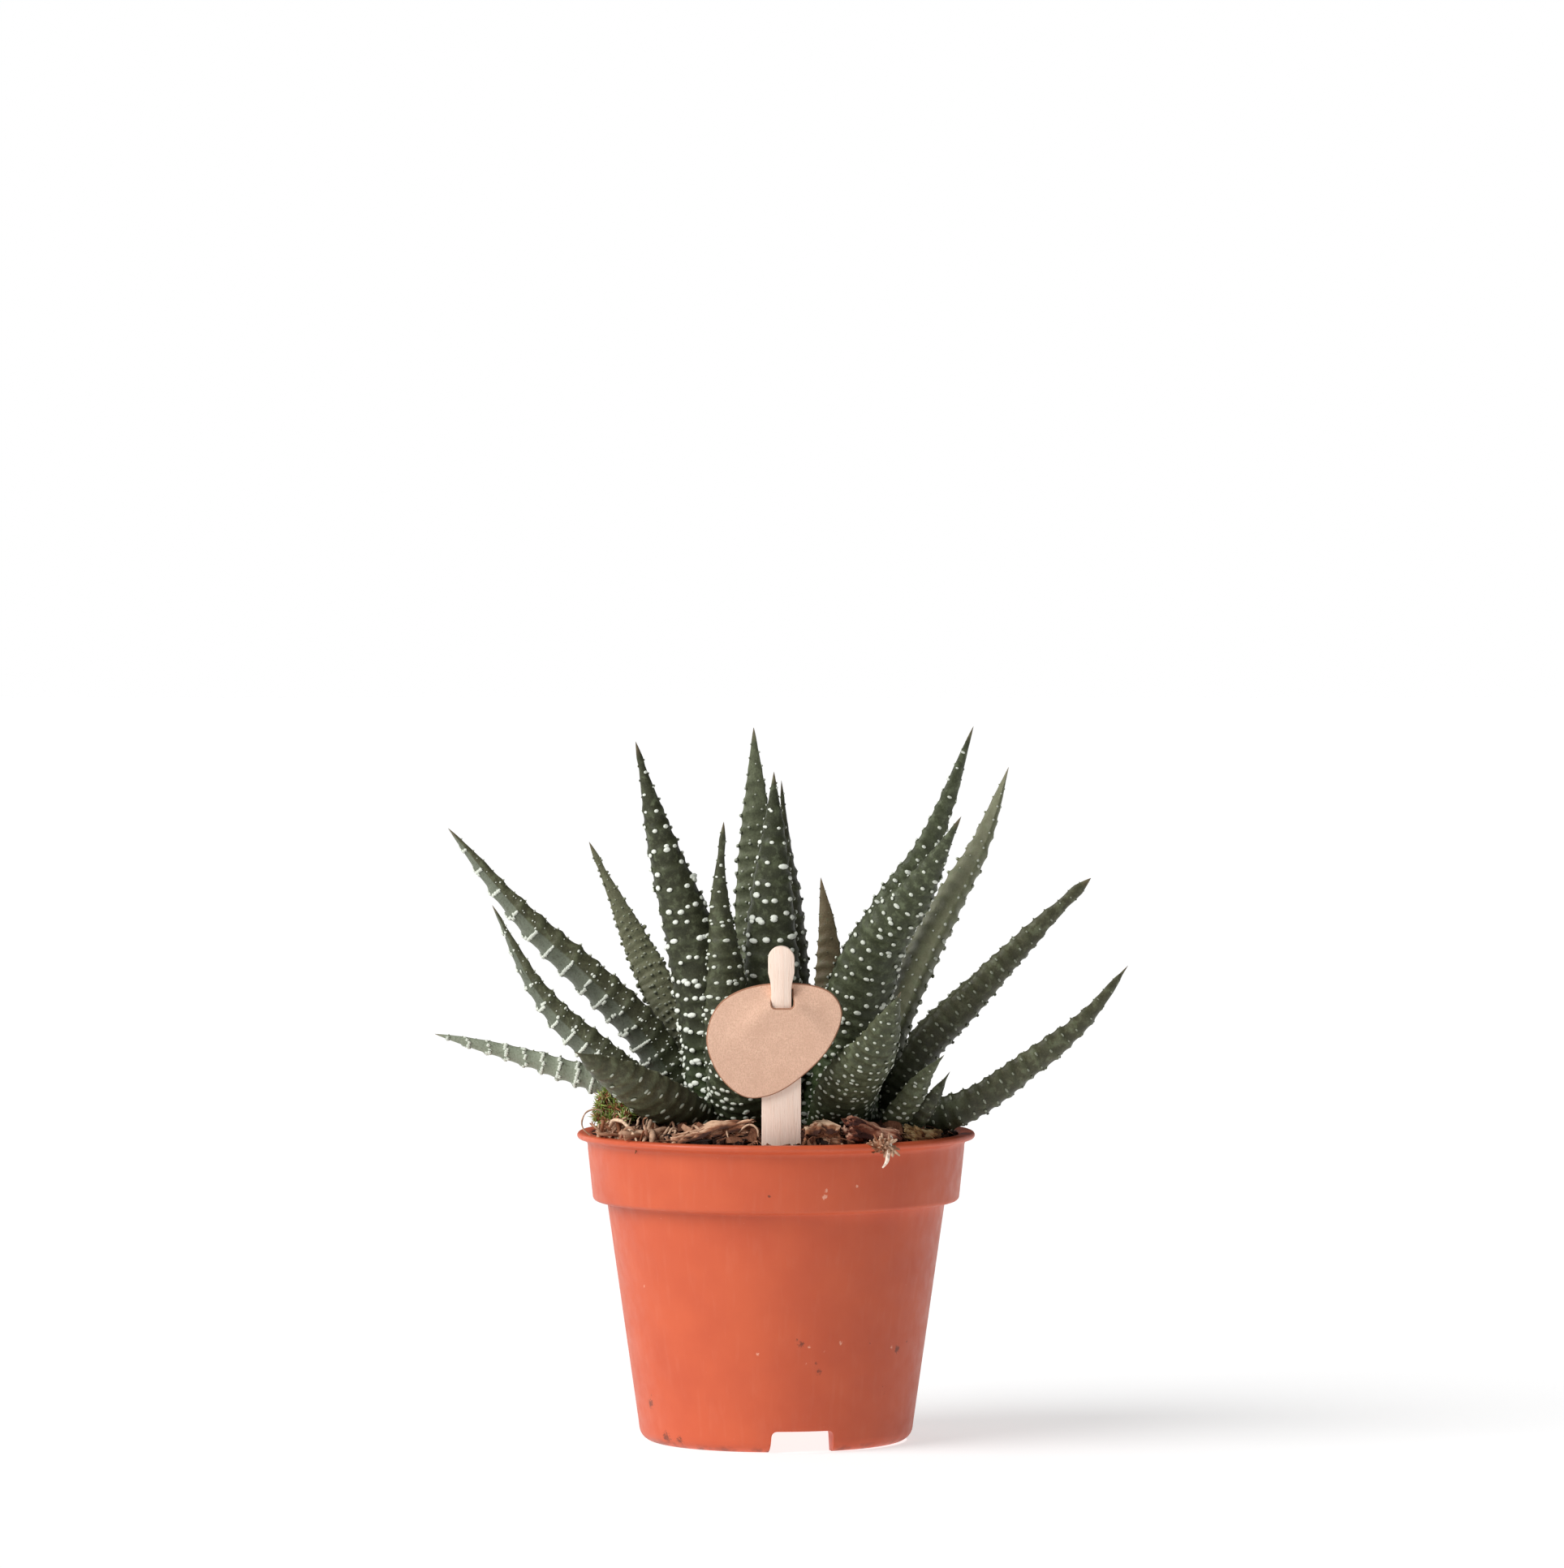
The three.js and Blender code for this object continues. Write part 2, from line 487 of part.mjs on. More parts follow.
/* The potting mix: follows the pot's inside and ends in a low crumbly crown. */
function soilSolid() {
  const segments = 24;
  const [foot, shoulder] = [footHeight + potWall + clearance, collarFoot + potWall + clearance];
  const rings = [
    [potInside(foot) - clearance, foot],
    [potInside(collarFoot) - clearance, shoulder],
    [potCollarLow - potWall - clearance, shoulder + 0.01],
    [potCollarHigh - potWall - 0.15 - clearance, soilTop],
    ...soilRings.map((radius) => [radius, soilTop]),
  ];
  const crumbledFrom = 4;
  const corners = [0, 0, foot];
  rings.forEach(([radius, height], ring) => {
    for (let step = 0; step < segments; step++) {
      const angle = 2 * Math.PI * step / segments;
      const lump = soilCrumb * noise(ring, step) + soilCrown * (1 - (radius / soilCrownReach) ** 2);
      const z = height + (ring >= crumbledFrom ? lump : 0);
      corners.push(radius * Math.cos(angle), radius * Math.sin(angle), z);
    }
  });
  corners.push(0, 0, soilTop + soilCrown);
  const triangles = [];
  const last = corners.length / 3 - 1;
  for (let step = 0; step < segments; step++) {
    const next = (step + 1) % segments;
    triangles.push(0, 1 + next, 1 + step);
    for (let ring = 0; ring + 1 < rings.length; ring++) {
      const [a, b] = [1 + ring * segments + step, 1 + ring * segments + next];
      triangles.push(a, b, b + segments, a, b + segments, a + segments);
    }
    const top = 1 + (rings.length - 1) * segments;
    triangles.push(last, top + step, top + next);
  }
  const geometry = new THREE.BufferGeometry();
  geometry.setAttribute('position', new THREE.Float32BufferAttribute(corners, 3));
  geometry.setIndex(triangles);
  return solidOf(geometry);
}

// ---- assembly ---------------------------------------------------------------------------------

const plant = new THREE.Group();

function add(parent, name, geometry, material) {
  const mesh = new THREE.Mesh(geometry, material.clone());
  mesh.name = name;
  parent.add(mesh);
}

const label = new THREE.Group();
label.applyMatrix4(labelTurn);
plant.add(label);
add(label, 'label_stick', stickGeometry(), colours.wood);
add(label, 'tag', geometryOf(tagSolid()), colours.card);

add(plant, 'pot', geometryOf(potSolid()), colours.pot);

const stemHoles = stems.map((stem) => stemSolid(stem, clearance));
stems.forEach((stem) => add(plant, stem.name, geometryOf(stemSolid(stem)), colours.stem));

const soil = soilSolid();
const raisedSoil = soil.translate([0, 0, clearance]);
const swollenLeaves = [];
for (const leaf of leaves) {
  const whole = solidOf(leafGeometry(leaf));
  const cut = without(whole, [...stemHoles, raisedSoil, ...swollenLeaves]);
  add(plant, leaf.name, geometryOf(mainBody(cut)), colours.leaf);
  swollenLeaves.push(solidOf(leafGeometry(leaf, true)));
}

const stickHole = new THREE.BoxGeometry(stickWidth + 2 * clearance, stickThickness + 2 * clearance, 80);
const pockets = [solidOf(stickHole.translate(0, 0, 40 - stickDepth - clearance).applyMatrix4(labelTurn))];
const mouthRadius = potCollarLow - potWall - clearance;
const mouthShape = new THREE.CylinderGeometry(mouthRadius, mouthRadius, 40, 48).rotateX(Math.PI / 2);
const mouth = solidOf(mouthShape.translate(0, 0, soilTop));
for (const chip of chips) {
  const cut = mainBody(without(chipSolid(chip).intersect(mouth), [...swollenLeaves, ...pockets]));
  add(plant, chip.name, geometryOf(cut), colours[chip.colour]);
  pockets.push(chipSolid(chip, clearance));
}
const moss = mainBody(without(mossSolid(), [...swollenLeaves, ...pockets]));
add(plant, 'moss_tuft', geometryOf(moss), colours.moss);
pockets.push(mossSolid(clearance));

add(plant, 'soil', geometryOf(mainBody(without(soil, [...stemHoles, ...pockets]))), colours.soil);

export default plant;
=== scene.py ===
import math
import random

import bmesh
import bpy
from mathutils import Matrix, Vector
from mathutils import noise as wobble


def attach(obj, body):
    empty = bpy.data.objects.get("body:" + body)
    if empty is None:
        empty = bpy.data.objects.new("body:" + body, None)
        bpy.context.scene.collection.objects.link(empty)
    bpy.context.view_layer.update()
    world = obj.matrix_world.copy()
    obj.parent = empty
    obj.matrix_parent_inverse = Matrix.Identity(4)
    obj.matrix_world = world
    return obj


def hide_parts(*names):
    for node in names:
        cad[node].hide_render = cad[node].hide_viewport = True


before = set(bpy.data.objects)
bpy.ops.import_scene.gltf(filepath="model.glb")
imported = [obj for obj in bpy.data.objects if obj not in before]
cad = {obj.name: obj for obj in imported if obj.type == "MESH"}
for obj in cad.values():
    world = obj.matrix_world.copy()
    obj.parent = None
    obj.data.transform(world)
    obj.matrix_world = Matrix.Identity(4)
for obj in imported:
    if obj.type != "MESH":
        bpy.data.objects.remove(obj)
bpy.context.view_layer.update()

mm = 0.001
halfTurn = math.pi
fullTurn = 2 * math.pi


def srgb(red, green, blue):
    def linear(value):
        share = value / 255
        return share / 12.92 if share <= 0.04045 else ((share + 0.055) / 1.055) ** 2.4
    return (linear(red), linear(green), linear(blue), 1.0)


class Term:
    # one output socket, so that a node tree can be written as a formula
    def __init__(self, socket):
        self.socket = socket

    def __abs__(self):
        return calc("ABSOLUTE", self)

    def __lt__(self, other):
        return calc("LESS_THAN", self, other)

    def __gt__(self, other):
        return calc("GREATER_THAN", self, other)


for sign, operation in (("add", "ADD"), ("sub", "SUBTRACT"), ("mul", "MULTIPLY"), ("truediv", "DIVIDE"),
                        ("pow", "POWER")):
    setattr(Term, f"__{sign}__", lambda one, other, does=operation: calc(does, one, other))
    setattr(Term, f"__r{sign}__", lambda one, other, does=operation: calc(does, other, one))


def plug(value, socket):
    if isinstance(value, bpy.types.Node):
        value = value.outputs[0]
    if isinstance(value, Term):
        value = value.socket
    if isinstance(value, bpy.types.NodeSocket):
        socket.id_data.links.new(value, socket)
    else:
        socket.default_value = value


def addNode(tree, kind, inputs=None, **settings):
    node = tree.nodes.new(kind)
    for name, value in settings.items():
        setattr(node, name, value)
    for key, value in (inputs or {}).items():
        plug(value, node.inputs[key])
    return node


def treeOf(*values):
    return next(value.socket.id_data for value in values if isinstance(value, Term))


def calc(operation, *values):
    node = addNode(treeOf(*values), "ShaderNodeMath", dict(enumerate(values)), operation=operation)
    return Term(node.outputs[0])


def turn(operation, *values):
    # vector maths; the ones that give a number hand back that number
    node = addNode(treeOf(*values), "ShaderNodeVectorMath", dict(enumerate(values)), operation=operation)
    return Term(node.outputs["Value" if operation in ("DOT_PRODUCT", "LENGTH") else "Vector"])


def stretched(vector, share):
    node = addNode(treeOf(vector), "ShaderNodeVectorMath", {0: vector, "Scale": share}, operation="SCALE")
    return Term(node.outputs["Vector"])


def xyz(*values):
    return Term(addNode(treeOf(*values), "ShaderNodeCombineXYZ", dict(enumerate(values))).outputs[0])


def parts(vector):
    return [Term(socket) for socket in addNode(treeOf(vector), "ShaderNodeSeparateXYZ", {0: vector}).outputs]


def atMost(value, bound):
    return calc("MINIMUM", value, bound)


def atLeast(value, bound):
    return calc("MAXIMUM", value, bound)


def passed(value, before):
    # whether the value has reached a new whole number since before
    return calc("FLOOR", value) - calc("FLOOR", before) > 0.5


def scatter(value, stirred):
    # a number from 0 to 1 that looks random and stays the same for the same value
    return calc("FRACT", calc("SINE", value * 12.9898 + stirred) * 43758.5453)


def ease(value, low, high, start=0.0, end=1.0):
    bounds = {"Value": value, "From Min": low, "From Max": high, "To Min": start, "To Max": end}
    return Term(addNode(treeOf(value), "ShaderNodeMapRange", bounds).outputs["Result"])


class Growth:
    # a geometry tree, its named inputs and the few nodes that every tree here uses
    def __init__(self, name, inputs):
        self.tree = bpy.data.node_groups.new(name, "GeometryNodeTree")
        sockets = self.tree.interface
        sockets.new_socket(name="Geometry", in_out="INPUT", socket_type="NodeSocketGeometry")
        for label, value in inputs.items():
            kind = {int: "NodeSocketInt", float: "NodeSocketFloat", tuple: "NodeSocketVector"}[type(value)]
            sockets.new_socket(name=label, in_out="INPUT", socket_type=kind).default_value = value
        sockets.new_socket(name="Geometry", in_out="OUTPUT", socket_type="NodeSocketGeometry")
        source = self.tree.nodes.new("NodeGroupInput")
        self.given = {socket.name: Term(socket) for socket in source.outputs if socket.name}

    def node(self, kind, inputs=None, **settings):
        return addNode(self.tree, "GeometryNode" + kind, inputs, **settings)

    def read(self, kind, output=0, inputs=None, **settings):
        return Term(self.node(kind, inputs, **settings).outputs[output])

    def remember(self, shape, name, value, kind="FLOAT", domain="POINT"):
        return self.node("StoreNamedAttribute", {"Geometry": shape, "Name": name, "Value": value},
                         data_type=kind, domain=domain)

    def recall(self, name, kind="FLOAT"):
        return self.read("InputNamedAttribute", "Attribute", {"Name": name}, data_type=kind)

    def chance(self, low, high, seed):
        first, kind = (0, "FLOAT_VECTOR") if isinstance(low, tuple) else (2, "FLOAT")
        inputs = {first: low, first + 1: high, "Seed": seed}
        node = addNode(self.tree, "FunctionNodeRandomValue", inputs, data_type=kind)
        return Term(node.outputs[first // 2])

    def noise(self, scale, place, output=0):
        node = addNode(self.tree, "ShaderNodeTexNoise", {"Scale": scale, "Detail": 1.0, "W": place},
                       noise_dimensions="4D")
        return Term(node.outputs[output])

    def upright(self):
        return parts(self.read("InputPosition"))[2]

    def join(self, shapes):
        joined = self.node("JoinGeometry")
        for shape in reversed(shapes):
            plug(shape, joined.inputs[0])
        return joined

    def finish(self, shape, stuff):
        real = self.node("RealizeInstances", {"Geometry": shape})
        dressed = self.node("SetMaterial", {"Geometry": real, "Material": stuff})
        plug(dressed, self.tree.nodes.new("NodeGroupOutput").inputs[0])
        return self.tree


def bakeShape(piece):
    depsgraph = bpy.context.evaluated_depsgraph_get()
    shape = bpy.data.meshes.new_from_object(piece.evaluated_get(depsgraph), preserve_all_data_layers=True,
                                            depsgraph=depsgraph)
    piece.modifiers.clear()
    rough = piece.data
    piece.data = shape
    shape.name = piece.name
    bpy.data.meshes.remove(rough)


def growOn(piece, tree, values):
    # runs a tree on a piece and keeps what comes out as its plain mesh
    modifier = piece.modifiers.new(tree.name, "NODES")
    modifier.node_group = tree
    names = {item.name: item.identifier for item in tree.interface.items_tree if item.in_out == "INPUT"}
    for name, value in values.items():
        modifier[names[name]] = value
    bakeShape(piece)


def placed(name, data):
    thing = bpy.data.objects.new(name, data)
    bpy.context.scene.collection.objects.link(thing)
    return thing


def newPiece(name, corners, faces, edges=()):
    shape = bpy.data.meshes.new(name)
    shape.from_pydata([tuple(corner) for corner in corners], list(edges), faces)
    return placed(name, shape)


def fromShape(name, shape):
    mesh = bpy.data.meshes.new(name)
    shape.to_mesh(mesh)
    shape.free()
    return placed(name, mesh)


def dress(piece, material):
    piece.data.materials.clear()
    piece.data.materials.append(material)


def settle(piece, slotName, *nodes):
    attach(piece, "root")
    if nodes:
        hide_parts(*nodes)


def smooth(piece, angle=None):
    for face in piece.data.polygons:
        face.use_smooth = True
    if angle is not None:
        piece.data.set_sharp_from_angle(angle=math.radians(angle))


def roundEdges(piece, width, angle):
    edges = piece.modifiers.new("edges", "BEVEL")
    edges.width = width * mm
    edges.segments = 2
    edges.limit_method = "ANGLE"
    edges.angle_limit = math.radians(angle)


def prism(name, outline, front, back):
    # a flat outline of (across, height), drawn out from front to back
    count = len(outline)
    shape = bmesh.new()
    corners = [shape.verts.new((x * mm, y * mm, z * mm)) for y in (front, back) for x, z in outline]
    faces = [range(count), range(2 * count - 1, count - 1, -1)]
    faces += [(i, i + count, (i + 1) % count + count, (i + 1) % count) for i in range(count)]
    for face in faces:
        shape.faces.new([corners[i] for i in face])
    bmesh.ops.recalc_face_normals(shape, faces=shape.faces[:])
    return fromShape(name, shape)


def roundCorner(centre, radius, start, end, steps):
    angles = [math.radians(start + (end - start) * step / steps) for step in range(steps + 1)]
    return [(centre[0] + radius * math.cos(a), centre[1] + radius * math.sin(a)) for a in angles]


def lineThrough(points, steps):
    # a centripetal Catmull-Rom line; the first and the last point only steer it
    line = []
    for before, start, end, after in zip(points, points[1:], points[2:], points[3:]):
        gaps = [max((b - a).length ** 0.5, 1e-4) for a, b in ((before, start), (start, end), (end, after))]
        leave = (start - before) / gaps[0] - (end - before) / (gaps[0] + gaps[1]) + (end - start) / gaps[1]
        arrive = (end - start) / gaps[1] - (after - start) / (gaps[1] + gaps[2]) + (after - end) / gaps[2]
        leave, arrive = leave * gaps[1], arrive * gaps[1]
        for step in range(steps):
            t = step / steps
            line.append(start + leave * t + (3 * (end - start) - 2 * leave - arrive) * t ** 2
                        + (2 * (start - end) + leave + arrive) * t ** 3)
    return line


class Finish:
    # a material with its tree, its shader, its colour so far and the few nodes that every finish here uses
    def __init__(self, name, roughness, specular):
        self.material = bpy.data.materials.new(name)
        self.material.use_nodes = True
        self.tree = self.material.node_tree
        self.shader = self.tree.nodes["Principled BSDF"]
        self.shader.inputs["Roughness"].default_value = roughness
        self.shader.inputs["Specular IOR Level"].default_value = specular
        self.place = Term(self.tree.nodes.new("ShaderNodeTexCoord").outputs["Object"])
        self.colour = None

    def mapped(self, stretch=(1.0, 1.0, 1.0), turned=(0.0, 0.0, 0.0)):
        inputs = {"Vector": self.place, "Scale": tuple(share / mm for share in stretch), "Rotation": turned}
        return addNode(self.tree, "ShaderNodeMapping", inputs)

    def grain(self, perMm, detail=3.0, rough=0.5, **mapping):
        # noise with this many lumps to the millimetre, drawn out along an axis by a small stretch
        inputs = {"Vector": self.mapped(**mapping), "Scale": perMm, "Detail": detail, "Roughness": rough}
        return Term(addNode(self.tree, "ShaderNodeTexNoise", inputs).outputs[0])

    def cells(self, perMm):
        node = addNode(self.tree, "ShaderNodeTexVoronoi", {"Vector": self.mapped(), "Scale": perMm})
        return Term(node.outputs["Distance"])

    def mark(self, name):
        return Term(addNode(self.tree, "ShaderNodeAttribute", attribute_name=name).outputs["Fac"])

    def blend(self, share, first, second):
        node = addNode(self.tree, "ShaderNodeMix", {0: share, 6: first, 7: second}, data_type="RGBA")
        return Term(node.outputs[2])

    def coat(self, share, colour):
        # lays a colour over what is there, as far as the share says
        self.colour = self.blend(share, self.colour, colour)

    def shades(self, value, *stops):
        # a run of colours: stops are (place from 0 to 1, colour)
        node = addNode(self.tree, "ShaderNodeValToRGB", {0: value})
        elements = node.color_ramp.elements
        while len(elements) < len(stops):
            elements.new(0.5)
        for element, (place, colour) in zip(elements, stops):
            element.position = place
            element.color = colour
        self.colour = Term(node.outputs[0])

    def wear(self, roughness=None, bump=None, strength=0.3, depth=0.1):
        plug(self.colour, self.shader.inputs["Base Color"])
        if roughness is not None:
            plug(roughness, self.shader.inputs["Roughness"])
        if bump is not None:
            inputs = {"Strength": strength, "Distance": depth * mm, "Height": bump}
            plug(addNode(self.tree, "ShaderNodeBump", inputs), self.shader.inputs["Normal"])
        return self.material


pot = {
    "height": 46.6, "footRadius": 20.65, "shoulderRadius": 25.5, "collarLow": 27.65, "collarHigh": 28.5,
    "lipRadius": 30.0, "collarHeight": 10.3, "wall": 1.0, "footHeight": 3.3, "footRounding": 2.2,
    "footRingInner": 17.0, "notchWidth": 9.4, "notchFlare": 0.2, "notchCorner": 0.8, "notchTurn": 11.3,
    "notchCount": 3, "holeRadius": 2.4, "holeRing": 10.5, "segments": 160, "edgeRounding": 0.22,
    "lit": srgb(206, 92, 55), "deep": srgb(198, 85, 51), "dirt": srgb(88, 48, 36),
    "scratch": srgb(238, 178, 152),
}


# where each mark is, across and up from the foot, its size and its shade
potMarks = [
    (3.8, 16.5, 0.5, "dirt"), (6.05, 13.6, 0.28, "dirt"), (6.4, 12.3, 0.5, "dirt"), (3.2, 17.2, 0.25, "dirt"),
    (4.95, 16.1, 0.25, "scratch"), (7.3, 15.3, 0.22, "scratch"), (9.7, 16.5, 0.3, "scratch"),
    (4.5, 13.5, 0.2, "scratch"), (-2.75, 15.0, 0.32, "scratch"), (2.7, 4.6, 0.22, "scratch"),
    (17.4, 15.3, 0.34, "scratch"), (18.25, 14.9, 0.6, "dirt"), (19.7, 15.9, 0.28, "dirt"),
    (16.4, 8.3, 0.28, "dirt"), (14.1, 16.2, 0.2, "dirt"), (-19.0, 6.3, 0.8, "dirt"),
    (-18.9, 7.6, 0.3, "dirt"), (-16.6, 1.5, 1.0, "dirt"), (-14.6, 1.2, 0.8, "dirt"),
    (-19.8, 24.4, 0.25, "scratch"), (7.2, 38.8, 0.4, "scratch"), (7.5, 39.8, 0.3, "scratch"),
    (12.0, 40.3, 0.22, "scratch"), (-1.0, 39.0, 0.22, "dirt"),
]


def potInside(z):
    collarFoot = pot["height"] - pot["collarHeight"]
    share = (z - pot["footHeight"]) / (collarFoot - pot["footHeight"])
    return pot["footRadius"] + (pot["shoulderRadius"] - pot["footRadius"]) * share - pot["wall"]


def potProfile():
    top, wall, rounding = pot["height"], pot["wall"], pot["footRounding"]
    foot, footHeight, ringInner = pot["footRadius"], pot["footHeight"], pot["footRingInner"]
    low, high, shoulder = pot["collarLow"], pot["collarHigh"], pot["shoulderRadius"] - 0.06
    collarFoot = top - pot["collarHeight"]
    slope = (shoulder - foot) / (collarFoot - 0.5 - rounding)
    return [
        (0, footHeight),
        (ringInner, footHeight),
        (ringInner, 0),
        *roundCorner((foot - rounding, rounding), rounding, -90, -8, 8),
        *[(foot + slope * (z - rounding), z) for z in (3.2, 4.2, 6.5, 10, 15, 20, 25, 30, 34)],
        (shoulder, collarFoot - 0.5),
        *roundCorner((pot["shoulderRadius"] + 0.4, collarFoot - 0.5), 0.4, 180, 90, 3),
        *roundCorner((low - 0.7, collarFoot + 0.65), 0.7, -80, -2, 5),
        (high - 0.12, top - 2.6),
        *roundCorner((high + 0.75, top - 2.0), 0.85, 180, 118, 3),
        *roundCorner((pot["lipRadius"] - 0.5, top - 0.5), 0.5, -62, 100, 8),
        *roundCorner((high - wall + 0.9, top - 0.9), 0.9, 92, 178, 4),
        (low - wall, collarFoot + wall),
        (potInside(collarFoot), collarFoot + wall - 0.2),
        (potInside(footHeight + wall), footHeight + wall),
        (0, footHeight + wall),
    ]


def lathe(name, profile, segments):
    shape = bmesh.new()
    corners = [shape.verts.new((r * mm, 0, z * mm)) for r, z in profile]
    for one, other in zip(corners, corners[1:]):
        shape.edges.new((one, other))
    bmesh.ops.spin(shape, geom=shape.verts[:] + shape.edges[:], axis=(0, 0, 1), cent=(0, 0, 0),
                   angle=fullTurn, steps=segments, use_merge=True)
    bmesh.ops.remove_doubles(shape, verts=shape.verts[:], dist=0.004 * mm)
    bmesh.ops.recalc_face_normals(shape, faces=shape.faces[:])
    return fromShape(name, shape)


def potCutters():
    # one for each notch in the foot ring, and one for each drain hole in the floor
    half, rise, corner = pot["notchWidth"] / 2, pot["footHeight"], pot["notchCorner"]
    inset = half - corner
    outline = [(-half - pot["notchFlare"], -1), *roundCorner((-inset, rise - corner), corner, 180, 90, 4),
               *roundCorner((inset, rise - corner), corner, 90, 0, 4), (half + pot["notchFlare"], -1)]
    cutters = []
    for place in range(pot["notchCount"]):
        spin = Matrix.Rotation(math.radians(pot["notchTurn"] + 360 * place / pot["notchCount"]), 4, "Z")
        notch = prism("notch_cutter", outline, 3 - pot["footRingInner"], -4 - pot["footRadius"])
        notch.data.transform(spin)
        shape = bmesh.new()
        bmesh.ops.create_cone(shape, cap_ends=True, segments=40, radius1=pot["holeRadius"] * mm,
                              radius2=pot["holeRadius"] * mm, depth=4 * mm)
        hole = fromShape("hole_cutter", shape)
        hole.data.transform(spin @ Matrix.Translation((pot["holeRing"] * mm, 0, rise * mm)))
        cutters += [notch, hole]
    return cutters


def wallRadius(up):
    # of the wall's outer face at a height
    shoulder = pot["height"] - pot["collarHeight"]
    if up > shoulder:
        widening = pot["collarHigh"] - pot["collarLow"]
        return pot["collarLow"] + widening * (up - shoulder) / pot["collarHeight"]
    return pot["footRadius"] + (pot["shoulderRadius"] - pot["footRadius"]) * up / shoulder


def potPlastic():
    finish = Finish("terracotta_plastic", 0.4, 0.4)
    finish.colour = finish.blend(ease(finish.grain(0.12), 0.35, 0.7), pot["lit"], pot["deep"])
    streaks = finish.grain(1.0, 2.0, stretch=(1.0, 1.0, 0.12))
    finish.coat(ease(streaks, 0.55, 0.85, 0.0, 0.05), pot["scratch"])
    dust = finish.grain(0.9, 6.0, 0.7)
    finish.coat(ease(dust, 0.69, 0.78, 0.0, 0.35), pot["scratch"])
    height = parts(finish.place)[2]
    specks = ease(finish.cells(0.55), 0.07, 0.03) * ease(finish.grain(0.055, 1.0), 0.58, 0.7)
    finish.coat(specks * ease(height, 20 * mm, 8 * mm) * 0.85, pot["dirt"])
    soiled = ease(height, 1.2 * mm, 0.0) * ease(finish.grain(0.6, 4.0), 0.42, 0.6)
    finish.coat(soiled * 0.7, pot["dirt"])
    for across, up, size, shade in potMarks:
        # each mark is a ragged blot on the front of the wall
        middle = (across * mm, -(wallRadius(up) ** 2 - across ** 2) ** 0.5 * mm, up * mm)
        away = turn("LENGTH", turn("SUBTRACT", finish.place, middle))
        ragged = away + (finish.grain(2.6, 5.0, 0.8) - 0.5) * (size * 4.0 * mm)
        finish.coat(ease(ragged, size * mm, size * 0.5 * mm, 0.0, 0.75), pot[shade])
    gloss = ease(finish.grain(0.5, 4.0), 0.3, 0.7, 0.38, 0.52)
    ripple = finish.grain(0.35, 2.0) + finish.grain(4.0, 2.0) * 0.12
    return finish.wear(gloss, ripple, 0.35, 0.12)


def makePot():
    piece = lathe("moulded_pot", potProfile(), pot["segments"])
    cutters = potCutters()
    for cutter in cutters:
        cut = piece.modifiers.new("cut", "BOOLEAN")
        cut.operation = "DIFFERENCE"
        cut.solver = "EXACT"
        cut.object = cutter
    roundEdges(piece, pot["edgeRounding"], 62)
    bakeShape(piece)
    for cutter in cutters:
        bpy.data.objects.remove(cutter)
    smooth(piece, 38)
    dress(piece, potPlastic())
    settle(piece, "pot_plastic", "pot")
    print("pot:", len(piece.data.polygons), "faces")


leafShape = {
    "ringStep": 0.42, "outerSteps": 26, "innerSteps": 14, "depthShare": 0.43, "innerShare": 0.09, "dip": 2.2,
    # the point: how far down it reaches, how round it is and how thin it gets
    "tipReach": 2.6, "tipPower": 0.8, "tipLeast": 0.04,
    # cross rows crowd near the base, wander, and bow across the leaf, each on a low ridge
    "crowdReach": 15.0, "crowdRows": 5.0, "wander": 0.9, "waver": 0.28, "bow": 0.3, "ridge": 0.3,
    "lumps": 0.5, "wanderScale": 170.0, "waverScale": 620.0, "lumpScale": 260.0,
    # along the row, along the leaf, and up
    "dot": (0.5, 0.42, 0.3), "spot": (0.3, 0.25, 0.18), "tooth": (0.27, 0.34, 0.46),
    "bar": (0.97, 0.36, 0.27), "knob": (0.52, 0.42, 0.34), "fine": 0.75,
    "jitter": 0.75, "fineGap": 1.05, "toothGap": 2.2,
    # how far out to the margin (0.5) and to the tip (1) each kind goes
    "dotEnds": (0.46, 0.96), "barEnds": (0.485, 0.95), "spotEnds": (0.4, 0.93), "fineEnds": (0.47, 0.9),
    "toothEnd": 0.97, "dotsMissing": 0.08, "barsMissing": 0.03,
}

